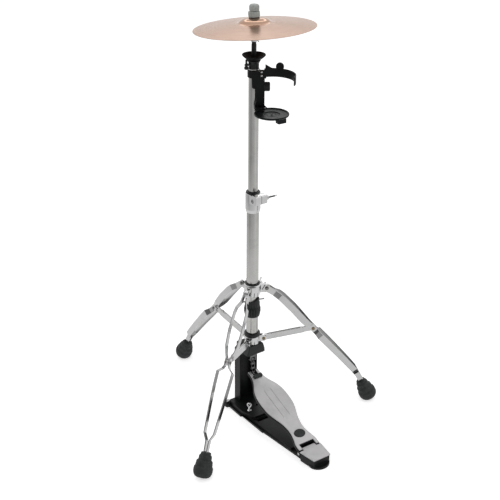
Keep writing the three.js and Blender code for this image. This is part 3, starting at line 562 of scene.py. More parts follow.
MATTE = plastic("matte_black", (0.0080, 0.0088, 0.0090), 0.60, 420, 0.04, shine=0.12)
DISH = plastic("dish_black", (0.0072, 0.0092, 0.0102), 0.34, 500, 0.012, shine=0.14)
RUBBER = rubber_material()
FELT = felt_material()


# ---------------------------------------------------------------- turned pieces
def upper_profile(node, place):
    """The (radius, height) stations along a turned CAD sheet's upper face, in its own frame."""
    points = points_in(node, place)
    radii = np.round(np.hypot(points[:, 0], points[:, 1]), 1)
    return [(float(r), float(points[radii == r][:, 2].max())) for r in sorted(set(radii))]


def build_cymbal():
    centre, axis = pivot("cymbal_spin")
    place = local_frame(centre, axis, (1, 0, 0))
    stations = upper_profile("cymbal", place)
    merged = [s for k, s in enumerate(stations) if k == 0 or s[0] - stations[k - 1][0] > 1]
    rim_radius = merged[-1][0]
    top = curved(merged, 10, 60, closed=False)
    thick = 0.95  # at the bell; the rim is thinner
    under = [(r, z - thick * (1 - 0.35 * r / rim_radius)) for r, z in top]
    rim = (rim_radius + 0.02, top[-1][1] - thick * 0.32)
    profile = [*top, rim, *reversed(under), top[0]]
    stands_for("cymbal", as_object("cymbal_sheet", lathe(profile, 256), place), BRONZE, smooth=50)
    for node in ("felt_upper", "felt_lower"):
        points = points_in(node, place)
        radii = np.hypot(points[:, 0], points[:, 1])
        low, high = points[:, 2].min(), points[:, 2].max()
        inner, outer = radii.min(), radii.max()
        line = [(inner, low), (outer * 0.95, low), (outer, low + (high - low) * 0.35), (outer * 0.99, high),
                (inner, high)]
        washer = turned(node, node + "_washer", FELT, line, 0.9, 4, 128, place, felt_ripple(outer), smooth=60)


def felt_ripple(outer):
    """Small uneven bulges of pressed felt on its outer side."""
    def ripple(row, angle, r, z):
        wave = math.sin(angle * 7 + z * 1.3) * 0.5 + math.sin(angle * 13 + row) * 0.3
        return (r + 0.10 * wave if r > outer * 0.8 else r), z
    return ripple


def build_top_nut():
    low, high = span("top_nut")
    outer = high.x
    socket, socket_top = 3.4, low.z + 3.2
    profile = [(0, high.z), (outer * 0.80, high.z), (outer * 0.95, high.z - 2.0), (outer, high.z - 5.0),
               (outer * 0.985, low.z + 1.6), (outer * 0.97, low.z), (socket, low.z), (socket, socket_top),
               (0, socket_top)]
    turned("top_nut", "top_cap", FELT, profile, 1.5, 5, 128, ripple=felt_ripple(outer), smooth=60)


def build_clutch():
    bore = 3.3
    low, high = span("clutch_sleeve")
    outer, neck = high.x, high.x - 0.5
    turned("clutch_sleeve", "clutch_tube", NYLON,
           [(bore, low.z), (outer, low.z), (outer, high.z - 6), (neck, high.z - 5), (neck, high.z),
            (bore, high.z)],
           0.5, 3, 64)
    low, high = span("clutch_body")
    collar, waist, flange = 7.0, 5.8, high.x
    profile = [(bore, low.z), (collar, low.z), (collar, low.z + 12), (waist, low.z + 13.5),
               (waist, high.z - 5),
               (collar + 1, high.z - 3), (flange, high.z - 2.4), (flange, high.z), (bore, high.z)]
    centre, axis = pivot("clutch_screw_turn")
    body = carved("clutch_socket", [spun(profile, 0.6, 3, 72)], [along(disc(2.5, 0, 12), centre, axis)])
    stands_for("clutch_body", eased(body, 0.2), CHROME)


def build_cup():
    bore = 7.0
    low, high = span("seat_cup")
    bottom, top, rim = low.z, high.z, high.x
    turned("seat_cup", "cup_bowl", MATTE, [
        (bore, bottom), (15.4, bottom), (16.6, bottom + 0.7), (rim * 0.83, bottom + 4.0),
        (rim - 0.9, top - 2.6),
        (rim, top - 1.1), (rim - 0.4, top), (rim - 1.9, top - 0.1), (rim - 2.6, top - 1.0),
        (rim * 0.66, bottom + 5.2), (13.6, bottom + 3.4), (12.2, bottom + 2.5), (bore + 1.6, bottom + 2.5),
        (bore, bottom + 2.0)], 0.7, 4, 144, smooth=28)

    low, high = span("cup_base")
    screw_low, screw_high = span("tilt_screw")
    centre = Vector(((screw_low.x + screw_high.x) / 2, (screw_low.y + screw_high.y) / 2, 0))
    shoulder = span("upper_tube")[1].z + 0.3
    spigot, outer = 9.2, 10.75
    profile = [(bore, low.z), (spigot, low.z), (spigot, shoulder), (outer + 0.5, shoulder),
               (outer + 0.5, shoulder + 1.6), (outer, shoulder + 2.2), (outer, high.z - 6.5),
               (14.0, high.z - 0.8), (13.6, high.z), (bore, high.z)]
    reach = math.hypot(centre.x, centre.y)
    lug_turn = Matrix.Rotation(math.atan2(centre.y, centre.x), 4, "Z")
    lug_low = screw_low.z + 8.3
    nose = [(7.6, -4), (reach, -4), (reach + 3.4, -2.4), (reach + 4, 0), (reach + 3.4, 2.4), (reach, 4),
            (7.6, 4)]
    lug = placed(prism(rounded(nose, 1.2, 4), lug_low, lug_low + 3.4), lug_turn)
    hole = placed(disc(2.5, low.z, high.z + 3), lug_turn @ Matrix.Translation((reach, 0, 0)))
    base = carved("cup_holder", [spun(profile), lug], [hole, disc(bore, low.z - 1, high.z + 1, count=ROUND)])
    stands_for("cup_base", eased(base, 0.35), NYLON)

    grip = (screw_high.x - screw_low.x) / 2
    knob_low = screw_low.z + 0.4
    knob_top = knob_low + 6.2

    def fluted(row, angle, r, z):
        on_grip = r > grip * 0.7 and z < knob_top - 0.8
        return (r - 0.45 * (0.5 + 0.5 * math.cos(angle * 12)) if on_grip else r), z

    turned("tilt_screw", "tilt_bolt", NYLON, [
        (0, knob_low), (grip - 1, knob_low), (grip, knob_low + 1.2), (grip, knob_top - 1.2),
        (grip - 1, knob_top),
        (2.2, knob_top), (2.2, screw_high.z - 1), (1.2, screw_high.z), (0, screw_high.z)],
        0.5, 3, 96, Matrix.Translation(centre), fluted)


def build_tubes():
    def pipe_section(node, inner):
        low, high = span(node)
        return [(inner, low.z), (high.x, low.z), (high.x, high.z), (inner, high.z)]

    turned("upper_tube", "upper_pipe", TUBE_CHROME, pipe_section("upper_tube", 9.5), 0.5, 4)
    seat_low, seat_high = span("spring_seat")
    pin_turn = Matrix.Rotation(math.atan2(*pin_direction().yx), 4, "Z")
    slot = placed(block((-18, 18), (-2.5, 2.5), (seat_low.z - 4.5, seat_high.z + 12)), pin_turn)
    pipe = carved("lower_pipe", [spun(pipe_section("lower_tube", 12), 0.5, 4)], [slot])
    stands_for("lower_tube", eased(pipe, 0.3), TUBE_CHROME)

    bore, chamfer = 14.3, 0.8
    for node, name in (("lower_ring", "tower_ring"), ("leg_collar_ring", "collar_bush")):
        low, high = span(node)
        turned(node, name, NYLON, [(bore, low.z), (high.x, low.z), (high.x, high.z - chamfer),
                                   (high.x - chamfer, high.z), (bore, high.z)], 0.6, 4)
    low, high = span("clamp_bush")
    inner, skirt = span("upper_tube")[1].x + 0.3, 13.9
    flange = low.z + 9
    turned("clamp_bush", "clamp_sleeve", NYLON, [
        (inner, low.z), (skirt, low.z), (skirt, flange), (high.x, flange), (high.x, flange + 1),
        (high.x - 1, high.z), (inner + 0.6, high.z), (inner, high.z - 0.6)], 0.5, 3)


def pin_direction():
    """The level direction of the spring seat's cross pin."""
    points = np.array([v.co for v in frame["nodes"]["spring_seat"].data.vertices])
    return Vector(points[np.argmax(np.hypot(points[:, 0], points[:, 1]))]).to_2d().normalized()


def build_dial():
    """The ribbed grip with two toothed ramps on its top, half a turn each."""
    place = Matrix.Identity(4)
    points = points_in("tension_dial", place)
    low, high = span("tension_dial")
    radii = np.hypot(points[:, 0], points[:, 1])
    outer, inner = radii.max(), radii.min()
    rim = points[radii > outer - 0.2]
    crest = rim[np.argmax(rim[:, 2])]
    step_angle = math.degrees(math.atan2(crest[1], crest[0])) + 360 / 100
    ramp_low = float(rim[rim[:, 2] > low.z + 10][:, 2].min())
    teeth, drop = 14, 2.4
    rise = high.z - ramp_low - drop
    count = 720

    def top_height(angle):
        turned = (math.degrees(angle) - step_angle) % 180
        share = turned / 180 * teeth
        within = share - math.floor(share)
        return ramp_low + drop + rise * turned / 180 - 3.4 * (1 - min(1.0, within * 1.25))

    grips = 18
    line = [(inner, low.z), (outer - 1.2, low.z), (outer - 0.3, low.z + 0.8), (outer, low.z + 2),
            (outer, low.z + 4.6),
            (outer + 0.6, low.z + 5.2), (outer + 1.9, low.z + 12), (outer + 1.8, low.z + 20),
            (outer + 0.4, low.z + 26), (outer, low.z + 26.6)]
    wall = len(line)

    def shape(row, angle, r, z):
        if 5 <= row <= 8:
            groove = max(0.0, math.cos(angle * grips)) ** 2
            return r - 1.5 * groove, z
        if row >= wall:
            return r, top_height(angle) - (0.5 if row in (wall, wall + 3) else 0.0)
        return r, z

    line += [(outer, high.z), (outer - 0.5, high.z), (inner + 0.5, high.z), (inner, high.z)]
    stands_for("tension_dial", as_object("dial_grip", lathe([*line, line[0]], count, shape)), NYLON,
               smooth=40)


# ---------------------------------------------------------------- wing screws
def build_wing_screw(node, name, joint, wing_edge=2.2, wing_half=1.25):
    """A turned hub with two rounded wings, aligned with the CAD screw."""
    centre, axis = pivot(joint)
    place = local_frame(centre, axis, (0.31, 0.22, 0.93) if abs(axis.z) < 0.9 else (1, 0, 0))
    points = points_in(node, place)
    _, _, directions = np.linalg.svd(points[:, :2] - points[:, :2].mean(0), full_matrices=False)
    place = place @ Matrix.Rotation(math.atan2(directions[0][1], directions[0][0]), 4, "Z")
    points = points_in(node, place)
    start, end = points[:, 2].min(), points[:, 2].max()
    reach = np.abs(points[:, 0]).max()
    radii = np.hypot(points[:, 0], points[:, 1])
    shank = radii[points[:, 2] < start + 0.2].max()
    beside_wings = np.abs(points[:, 1]) > 1.5
    hub = radii[beside_wings].max()
    hub_heights = points[beside_wings & (radii > hub - 0.2)][:, 2]
    hub_low, hub_top = hub_heights.min(), hub_heights.max()
    stem = spun([(0, start), (shank * 0.8, start), (shank, start + 0.6), (shank, hub_low), (hub, hub_low),
                 (hub, hub_top - 1), (hub - 1.2, hub_top), (0, hub_top)], 0.4, 3, 48)
    tall, flare = hub_top - hub_low, end - hub_top
    outline = [(hub * 0.3, hub_low + tall * 0.15), (reach * 0.80, hub_top + flare * 0.12),
               (reach, hub_top + flare * 0.45), (reach * 0.94, end - flare * 0.12), (reach * 0.74, end),
               (hub * 0.9, hub_top + 0.2), (hub * 0.3, hub_top - 0.3)]

    def wing(side):
        line = rounded([(side * x, z) for x, z in outline], wing_edge, 5)
        return placed(prism(line, -wing_half, wing_half), Matrix.Rotation(math.radians(90), 4, "X"))

    screw = carved(name, [stem, wing(1), wing(-1)], (), place)
    return stands_for(node, eased(screw, 0.45, 3, 40), CHROME)


# ---------------------------------------------------------------- clamp and collars
def build_clamp():
    low, high = span("clamp_body")
    radius, bottom = high.x, low.z
    ear_top, front = high.z, low.y
    top = ear_top - 2
    ear_bottom, ear_x = bottom + 28, 15.3
    centre, _ = pivot("clamp_nut_turn")
    bore = span("lower_tube")[1].x + 0.3
    across = local_frame((0, centre.y, centre.z), (1, 0, 0), UP)
    barrel = spun([(0, bottom), (radius - 2.0, bottom), (radius - 1.7, bottom + 0.8), (radius, bottom + 8),
                   (radius, top - 0.8), (radius - 0.8, top), (0, top)], 0.8)
    side_view = [(-4, ear_bottom - 3), (-12, ear_bottom - 3), (front + 1.5, ear_bottom),
                 (front, ear_bottom + 1.5),
                 (front, ear_top - 1.2), (front + 1.2, ear_top), (-18.0, ear_top), (-18.0, top - 0.4),
                 (-4, top - 0.4)]
    ears = placed(prism(rounded(side_view, 0.8, 3), -ear_x, ear_x), ACROSS)
    body = carved("height_clamp", [barrel, ears],
                  [disc(bore, bottom - 1, ear_top + 1, count=ROUND),
                   block((-0.4, 0.4), (front - 5, -5), (bottom - 1, ear_top + 1)),
                   placed(disc(3.3, -20, 20), across), placed(disc(4.9, -20, -12.4), across)])
    stands_for("clamp_body", eased(body, 0.45, 3), CHROME)
    low, high = span("clamp_bolt")
    shaft_end = high.x - 9.5
    bolt = carved("clamp_screw", [placed(prism(circle(4.2, 6), low.x, low.x + 2.2), across),
                                  placed(disc(3, low.x + 1, shaft_end), across),
                                  placed(disc(2.4, shaft_end - 1, high.x, 0.4), across)],
                  [placed(prism(circle(2.2, 6), low.x - 1, low.x + 1.2), across)])
    stands_for("clamp_bolt", eased(bolt, 0.3, 2), STEEL)


def leg_place(name):
    """A leg's own frame: X out along the leg, Z up, from the stand's axis."""
    _, axis = pivot(f"leg_{name}_fold")
    return local_frame((0, 0, 0), UP, axis.cross(UP).normalized())


def collar_lug(place, reach, z, y, nose, drop=None):
    """A lug or ear with a round nose, in a leg's upright plane."""
    back = 13.0
    low = z - (drop or nose)
    under = [(back, low)] if drop is None else [(back, low), (reach - nose * 0.2, low)]
    arc = [(reach + nose * math.sin(a), z - nose * math.cos(a)) for a in np.linspace(0, math.pi, 17)]
    return placed(prism([*under, *arc, (back, z + nose)], -y[1], -y[0]), place @ STANDING)


def build_collars():
    bore = span("lower_tube")[1].x + 0.3
    low, high = span("strut_collar")
    bottom, top, outer = low.z, high.z, 18.0
    lugs, cuts, holes = [], [], []
    for name in LEGS:
        place = leg_place(name)
        centre, axis = pivot(f"brace_{name}_fold")
        reach = centre.to_2d().length
        lugs += [collar_lug(place, reach, centre.z, y, 7.0) for y in ((-7.2, -4.1), (4.1, 7.2))]
        cuts.append(placed(block((outer + 0.5, 40), (-4.1, 4.1), (bottom - 4, top + 4)), place))
        holes.append(along(disc(2.3, -14, 14), centre, axis))
    band = spun([(0, bottom), (outer - 0.8, bottom), (outer, bottom + 0.8), (outer, top - 0.8),
                 (outer - 0.8, top), (0, top)], 0.6)
    tube = disc(bore, bottom - 1, top + 1, count=ROUND)
    body = carved("brace_collar", [band, *lugs], [tube, *cuts, *holes])
    stands_for("strut_collar", eased(body, 0.5, 3), CHROME)

    low, high = span("leg_collar")
    bottom, top = low.z, high.z
    wide, narrow = 19.5, 17.0
    lugs, holes = [], []
    for name in LEGS:
        centre, axis = pivot(f"leg_{name}_fold")
        lugs.append(collar_lug(leg_place(name), centre.to_2d().length, centre.z, (-4.4, 4.4), 8.0, drop=12.0))
        holes.append(along(disc(2.8, -14, 14), centre, axis))
    centre, axis = pivot("leg_collar_screw_turn")
    boss = along(disc(6.5, -4, 9.5, 0.8), centre, axis)
    holes.append(along(disc(3.3, -6, 16), centre, axis))
    barrel = spun([(0, bottom), (narrow - 0.6, bottom), (narrow, bottom + 0.8), (wide - 0.6, bottom + 11),
                   (wide, bottom + 13), (wide, top - 3), (wide - 2, top), (0, top)], 1.0)
    tube = disc(bore, bottom - 1, top + 1, count=ROUND)
    body = carved("leg_hub", [barrel, *lugs, boss], [tube, *holes])
    stands_for("leg_collar", eased(body, 0.55, 3), CHROME)


# ---------------------------------------------------------------- legs
def rivet(name, centre, axis, half_length, radius, shank):
    """Two domed heads on a shank."""
    upper = [(shank, 0), (shank, half_length), (radius, half_length), (radius, half_length + 0.5),
             (radius * 0.86, half_length + 1.2), (radius * 0.5, half_length + 1.75), (0, half_length + 1.9)]
    lower = [(r, -z) for r, z in reversed(upper)]
    place = local_frame(centre, axis, (0.2, 0.3, 0.93))
    return as_object(name, spun([*lower[:-1], *upper[1:]], 0.25, 2, FINE), place)


def build_legs():
    for name in LEGS:
        for side in "ab":
            node = f"leg_{name}_strap_{side}"
            stands_for(node, eased(copied(f"leg_{name}_bar_{side}", node), 0.45, 2, 24), STRAP, smooth=9)
        hub, axis = pivot(f"leg_{name}_fold")
        stands_for(f"leg_{name}_pin", rivet(f"leg_{name}_hub_rivet", hub, axis, 7.6, 4.6, 2.5), PIN_STEEL)
        place = leg_place(name)
        build_strut(name, place)
        build_foot(name, place)


def build_strut(name, place):
    """A brace, made taller than its CAD bar, with a rivet and a brass washer at both ends."""
    node = f"leg_{name}_strut"
    centre, axis = pivot(f"brace_{name}_fold")
    bar = copied(f"leg_{name}_brace", node)
    points = points_in(node, place)
    start = Vector((centre.to_2d().length, 0, centre.z))
    far = points[points[:, 0] > points[:, 0].max() - 4]
    nose, taller = 6.0, 1.1
    down_bar = (Vector((far[:, 0].mean(), 0, far[:, 2].mean())) - start).normalized()
    length = np.hypot(points[:, 0] - start.x, points[:, 2] - start.z).max() - nose
    upward = (place.to_3x3() @ Vector((-down_bar.z, 0, down_bar.x))).normalized()
    for vertex in bar.data.vertices:
        height = (bar.matrix_world @ vertex.co / MM - centre).dot(upward)
        vertex.co += upward * (taller * MM * max(-1.0, min(1.0, height / 2)))
    stands_for(node, eased(bar, 0.5, 2, 30), STRAP, smooth=24)
    knee = place @ (start + down_bar * length)
    brass_side = place.to_3x3() @ Vector((0, -1, 0))
    for spot, where, half, radius, owner, shank in (
            ("knee", knee, 6.3, 3.9, f"leg_{name}", 1.8),
            ("brace", centre, 7.3, 3.8, body_of("strut_collar"), 2.0)):
        piece(rivet(f"leg_{name}_{spot}_rivet", where, axis, half, radius, shank), owner, PIN_STEEL, "steel")
        section = [(1.2, 0.2), (radius + 0.15, 0.2), (radius + 0.15, 1.0), (radius - 0.7, 1.8), (1.2, 1.8)]
        washer = as_object(f"leg_{name}_{spot}_washer", spun(section, 0.3, 3, FINE),
                           local_frame(where + brass_side * (half - 0.1), brass_side, UP))
        piece(washer, owner, BRASS, "brass")


def build_foot(name, place):
    """A stepped rubber boot on the leg's end, cut flat by the floor."""
    lean = math.radians(28)
    points = points_in(f"leg_{name}_foot", place)[:, [0, 2]]
    down = np.array((math.sin(lean), -math.cos(lean)))
    side = np.array((math.cos(lean), math.sin(lean)))
    across = points @ side
    wide = (across.max() - across.min()) / 2
    origin = down * (points @ down).min() + side * (across.max() + across.min()) / 2
    steps = [(0.49, 0), (0.52, 0.8), (0.545, 4.6), (0.555, 5.4), (0.650, 7.2), (0.665, 8.6), (0.680, 13.6),
             (0.670, 14.6), (0.690, 16.0), (0.830, 19.2), (0.850, 20.6), (0.880, 27.2), (0.870, 28.4),
             (0.890, 30.0), (0.980, 33.0), (0.995, 34.6), (1.0, 41.5), (0.97, 45.5), (0.90, 49.5),
             (0.78, 53.0), (0.66, 54.7), (0, 55)]  # share of the boot's half width, distance down the leg
    axis = place @ Vector((down[0], 0, down[1]))
    base = place @ Vector((origin[0], 0, origin[1]))
    boot_place = local_frame(base, axis, place.to_3x3() @ Vector((0, 1, 0)))
    profile = [(0, 0), *((wide * r, z) for r, z in steps)]
    boot = as_object(f"leg_{name}_boot", spun(profile, 0.9, 3, 72, boot_ribs), boot_place)
    floor = as_object("floor_tool", block((-700, 700), (-700, 700), (-80, 0.02)))
    cut = boot.modifiers.new("floor", "BOOLEAN")
    cut.operation, cut.solver, cut.object = "DIFFERENCE", "EXACT", floor
    bake(boot)
    bpy.data.objects.remove(floor)
    boot.data.transform(boot.matrix_world)
    boot.matrix_world = Matrix.Identity(4)
    stands_for(f"leg_{name}_foot", boot, RUBBER, smooth=45)


def boot_ribs(row, angle, r, z):
    """Shallow flutes down the boot's side, ending before its sole."""
    fade = max(0.0, min(1.0, (z - 8) / 6)) * max(0.0, min(1.0, (46 - z) / 6))
    return r - 0.35 * fade * (0.5 + 0.5 * math.cos(angle * 12)), z


# ---------------------------------------------------------------- pedal
def board_place():
    """The footboard's frame: X across, Y up the slope from the hinge, Z out of the board."""
    mesh = frame["nodes"]["footboard_plate"].data
    top = max(mesh.polygons, key=lambda p: p.area * max(0.0, p.normal.z))
    return local_frame(pivot("pedal_hinge")[0], top.normal, (1, 0, 0))


def top_outline(node, place):
    """The outline of a CAD plate's upper face, in its own frame, and its height."""
    obj = copied("outline_tool", node)
    inverse = place.inverted()
    direction = place.to_3x3() @ UP
    face = max((p for p in obj.data.polygons if p.normal.dot(direction) > 0.99), key=lambda p: p.area)
    loop = [inverse @ (obj.data.vertices[v].co / MM) for v in face.vertices]
    bpy.data.objects.remove(obj)
    return [(p.x, p.y) for p in loop], loop[0].z


def build_board():
    place = board_place()
    outline, top = top_outline("footboard_plate", place)
    outline = curved(outline, 5, 38)
    thick = 2.4
    groove_x, groove_half, groove_y = 9.0, 0.55, (95, 180)
    grooves = [block((x - groove_half, x + groove_half), groove_y, (top - 0.5, top + 2))
               for x in (-groove_x, groove_x)]
    dot_y, dot_half, dot_flat = 42.4, 14.4, 0.76
    recess = prism([(x, y * dot_flat + dot_y) for x, y in circle(dot_half + 0.25, 96)], top - 0.8, top + 2)
    heel_notches = [block((-19.8, 19.8), (-5, 16.2), (top - 5, top + 5)),
                    block((-40, 40), (-5, 2.5), (top - 5, top + 5))]
    plate = carved("board_top", [prism(outline, top - thick, top)], [*grooves, recess, *heel_notches], place)
    stands_for("footboard_plate", eased(plate, 0.4, 3), BOARD)
    dot = spun([(0, -0.75), (dot_half, -0.75), (dot_half, 0.05), (dot_half - 1.2, 0.35), (0, 0.45)], 0.3)
    dot = as_object("board_dot", placed(dot, Matrix.Diagonal((1, dot_flat, 1, 1))),
                    place @ Matrix.Translation((0, dot_y, top)))
    piece(dot, body_of("footboard_plate"), RUBBER, "rubber")

    tray_top, depth = top - thick - 0.3, 6.4
    centre, _ = pivot("pedal_hinge")
    knuckles = []
    for middle in (-23.7, 23.7):
        x = (middle - 5.3, middle + 5.3)
        knuckles += [placed(disc(5.2, *x, 0.5), ACROSS), block(x, (-1, 8), (-2, tray_top - 1))]
    toe_pin = placed(disc(2.0, -11, 11), Matrix.Translation((0, 240.0, 3.2)) @ ACROSS)
    hinge_hole = placed(disc(2.8, -40, 40), ACROSS)
    deck = prism(offset(outline, 0.9), tray_top - depth, tray_top)
    tray = carved("board_tray", [deck, *knuckles, toe_pin], [hinge_hole], place)
    stands_for("footboard_tray", eased(tray, 0.7, 3), POWDER)

    points = points_in("toe_pad", place)
    (x0, y0, z0), (x1, y1, z1) = points.min(0), points.max(0)
    x0, x1, y0, y1 = x0 - 1.4, x1 + 1.4, y0 + 1.4, y1 + 2.8  # wider and further up the board than the CAD pad
    pad_outline = rounded([(x0, y0), (x1, y0), (x1, y1), (x0, y1)], 3.0, 6)
    stands_for("toe_pad", eased(as_object("toe_bumper", prism(pad_outline, z0, z1), place), 0.9, 4), RUBBER)
    stands_for("heel_plate", eased(copied("heel_top", "heel_plate"), 0.5, 3), BOARD)
    low, high = span("hinge_pin")
    start, end = low.x - 0.4, high.x + 0.4
    turned("hinge_pin", "hinge_rod", STEEL, [
        (0, start), (3.4, start), (3.4, start + 1.1), (2.5, start + 1.1), (2.5, end - 1.1), (3.4, end - 1.1),
        (3.4, end), (0, end)], 0.3, 3, FINE, local_frame((0, centre.y, centre.z), (1, 0, 0), UP))


def build_chain():
    """Side plates with round ends, rollers and pins, from the clevis down to the toe pin."""
    start, _ = pivot("chain_swing")
    nodes = [f"chain_link_{k}" for k in (1, 2, 3)]
    last = points_in(nodes[-1], Matrix.Translation(start))
    plate, waist = 4.8, 2.9
    far = last[np.argmax(np.hypot(last[:, 1], last[:, 2]))]
    direction = Vector((0, far[1], far[2])).normalized()
    pitch = (max(np.hypot(last[:, 1], last[:, 2])) - plate) / len(nodes)
    place = local_frame(start, direction, (1, 0, 0))  # X across, Z down the chain

    def bar(radius, half, z, edge=0.0):
        return placed(disc(radius, -half, half, edge), Matrix.Translation((0, 0, z)) @ ACROSS)

    def round_end(z, first):
        angles = np.linspace(math.pi * first, math.pi * (first + 1.28), 25)
        return [(plate * math.cos(a), z + plate * math.sin(a)) for a in angles]

    for k, node in enumerate(nodes):
        z0, z1 = k * pitch, (k + 1) * pitch
        inner = k % 2 == 0
        inside = 1.9 if inner else 3.5
        outside = inside + 1.3
        middle = (z0 + z1) / 2
        outline = [*round_end(z0, 0.86), (waist, middle), *round_end(z1, -0.14), (-waist, middle)]
        plates = [placed(prism(outline, *x), ACROSS) for x in ((-outside, -inside), (inside, outside))]
        if inner:
            last_bore = 2.3 if node != nodes[-1] else 3.2
            shapes = [*plates, bar(3.9, inside + 0.5, z0), bar(3.9, inside + 0.5, z1)]
            cuts = [bar(2.3, 12, z0), bar(last_bore, 12, z1)]
        else:
            shapes = [*plates, bar(2.0, outside + 0.6, z0, 0.4), bar(2.0, outside + 0.6, z1, 0.4)]
            cuts = []
        link = carved(f"chain_plate_{k + 1}", shapes, cuts, place)
        stands_for(node, eased(link, 0.25, 2, 40), CHAIN_STEEL)


def build_rod():
    low, high = span("pull_rod")
    radius, shoulder = 3, 11.0
    seat = span("return_spring")[1].z + 0.3
    turned("pull_rod", "centre_rod", STEEL, [
        (0, low.z), (radius, low.z), (radius, seat), (shoulder, seat), (shoulder, seat + 4),
        (radius, seat + 4), (radius, high.z), (0, high.z)], 0.4, 3, 48)
    stands_for("rod_clevis", eased(copied("rod_yoke", "rod_clevis"), 0.5, 2, 40), CHAIN_STEEL)
    for node in ("return_spring", "spring_seat"):
        frame["nodes"][node].data.materials.clear()
        frame["nodes"][node].data.materials.append(STEEL)


# ---------------------------------------------------------------- base
def build_base():
    stands_for("base_plate", eased(copied("floor_plate", "base_plate"), 0.7, 3, 40), POWDER, smooth=25)
    stands_for("tower", eased(copied("tower_channel", "tower"), 0.7, 3, 40), POWDER)
    stands_for("tower_cap", eased(copied("tower_head", "tower_cap"), 1.1, 3, 40), NYLON)
    for side in ("left", "right"):
        node = f"spur_{side}"
        low, high = span(node)
        centre, _ = pivot(f"{node}_turn")
        thread, head, under = 3, 4.4, high.z - 2
        screw = spun([(0, low.z), (0.5, low.z), (thread, low.z + 2.6), (thread, under), (head, under),
                      (head, high.z), (0, high.z)], 0.35, 3, FINE)
        slot = block((-5, 5), (-0.5, 0.5), (high.z - 1.0, high.z + 1))
        place = Matrix.Translation((centre.x, centre.y, 0))
        stands_for(node, carved(f"{node}_screw", [screw], [slot], place), STEEL)


def build_eye_bolt():
    """The base's thumb bolt: a flared shank with a loop on its top."""
    centre, _ = pivot("base_bolt_turn")
    low, high = span("base_wing_bolt")
    place = Matrix.Translation((centre.x, centre.y, 0)) @ Matrix.Rotation(math.radians(28), 4, "Z")
    loop_radius, wire = 4.7, 1.9
    loop_z = high.z - loop_radius - wire
    shank = spun([(0, low.z), (2.2, low.z), (2.5, low.z + 0.5), (2.5, 17), (5.0, 17), (5.0, 18.4),
                  (3.1, 19.6), (2.8, 24), (2.4, loop_z - loop_radius), (0, loop_z - loop_radius)], 0.4, 3, 48)
    tube = circle(wire, 20, (loop_radius, 0))
    loop = along(lathe([*tube, tube[0]], 64), (0, 0, loop_z), (1, 0, 0))
    stands_for("base_wing_bolt", carved("base_eye_bolt", [shank, loop], (), place), CHROME, smooth=50)


# ---------------------------------------------------------------- bottle holder
def holder_place():
    """The holder's frame: X to its knob side, Y towards the tube from the dish, Z up."""
    _, axis = pivot("holder_knob_turn")
    return local_frame((0, 0, 0), UP, axis)


def build_holder():
    place = holder_place()
    points = points_in("holder_bracket", place)
    right, top = points.max(0)[[0, 2]]
    band_radius, bottom = 13.4, top - 16
    spine_bottom = points[:, 2].min() - 3.5
    inverse = place.inverted()
    hinge = inverse @ pivot("holder_dish_fold")[0]
    knob = inverse @ pivot("holder_knob_turn")[0]
    back, front = -13.4, -16.2
    face = rounded([(-4.6, top), (-4.6, bottom - 1), (-4.4, bottom - 2.5), (-3.6, top - 35),
                    (-1.4, top - 36.4),
                    (4.2, top - 38.6), (4.2, spine_bottom), (right, spine_bottom), (right, top)], 1.2, 4)
    tube_radius, tube_end = span("upper_tube")[1].x, span("upper_tube")[1].z
    at_hinge = Matrix.Translation((0, hinge.y, hinge.z)) @ ACROSS
    knuckles = []
    for x in ((6.4, 11.2), (18.0, 22.8)):
        knuckles += [placed(disc(3.4, *x, 0.4), at_hinge),
                     block(x, (hinge.y, front + 0.6), (hinge.z - 3.4, hinge.z + 3.4))]
    bracket = carved("holder_back", [
        spun([(0, bottom), (band_radius, bottom), (band_radius, top), (0, top)], 0.8),
        placed(prism(face, -back, -front), STANDING),
        block((-3.4, 12.6), (-14.6, -8), (bottom + 1.2, top - 1.2)),
        block((13, 22.4), (front + 0.4, -3), (knob.z - 8, knob.z + 8)),
        *knuckles,
    ], [
        disc(tube_radius + 0.3, bottom - 5, top + 5, count=ROUND),
        placed(disc(2.8, 10, 30), Matrix.Translation((0, knob.y, knob.z)) @ ACROSS),
        placed(disc(1.9, 0, 30), at_hinge),
    ], place)
    stands_for("holder_bracket", eased(bracket, 0.6, 3), POWDER)

    inner, outer, low, high = tube_radius + 0.3, tube_radius + 0.9, top + 0.35, tube_end + 1.7
    seam = spun([(inner, low), (outer, low), (outer, high), (inner, high)], 0.2)
    piece(as_object("tube_end_ring", seam), body_of("upper_tube"), SATIN, "satin_steel")
    build_arm(place)
    for k, z in enumerate((top - 0.2, top - 8.0)):
        head = spun([(0, 1.4), (1.2, 1.3), (2.1, 0.6), (2.2, 0), (2.2, -1.0), (0, -1.0)], 0.2, 2, FINE)
        rivet_place = local_frame(place @ Vector((16.3, front - 2.7, z)), place.to_3x3() @ Vector((0, -1, 0)),
                                  UP)
        piece(as_object(f"holder_rivet_{k + 1}", head, rivet_place), body_of("holder_arm"), CHROME, "chrome")
    build_dish(place, hinge, at_hinge)
    build_knob(place, knob)
    build_wire(place, hinge)


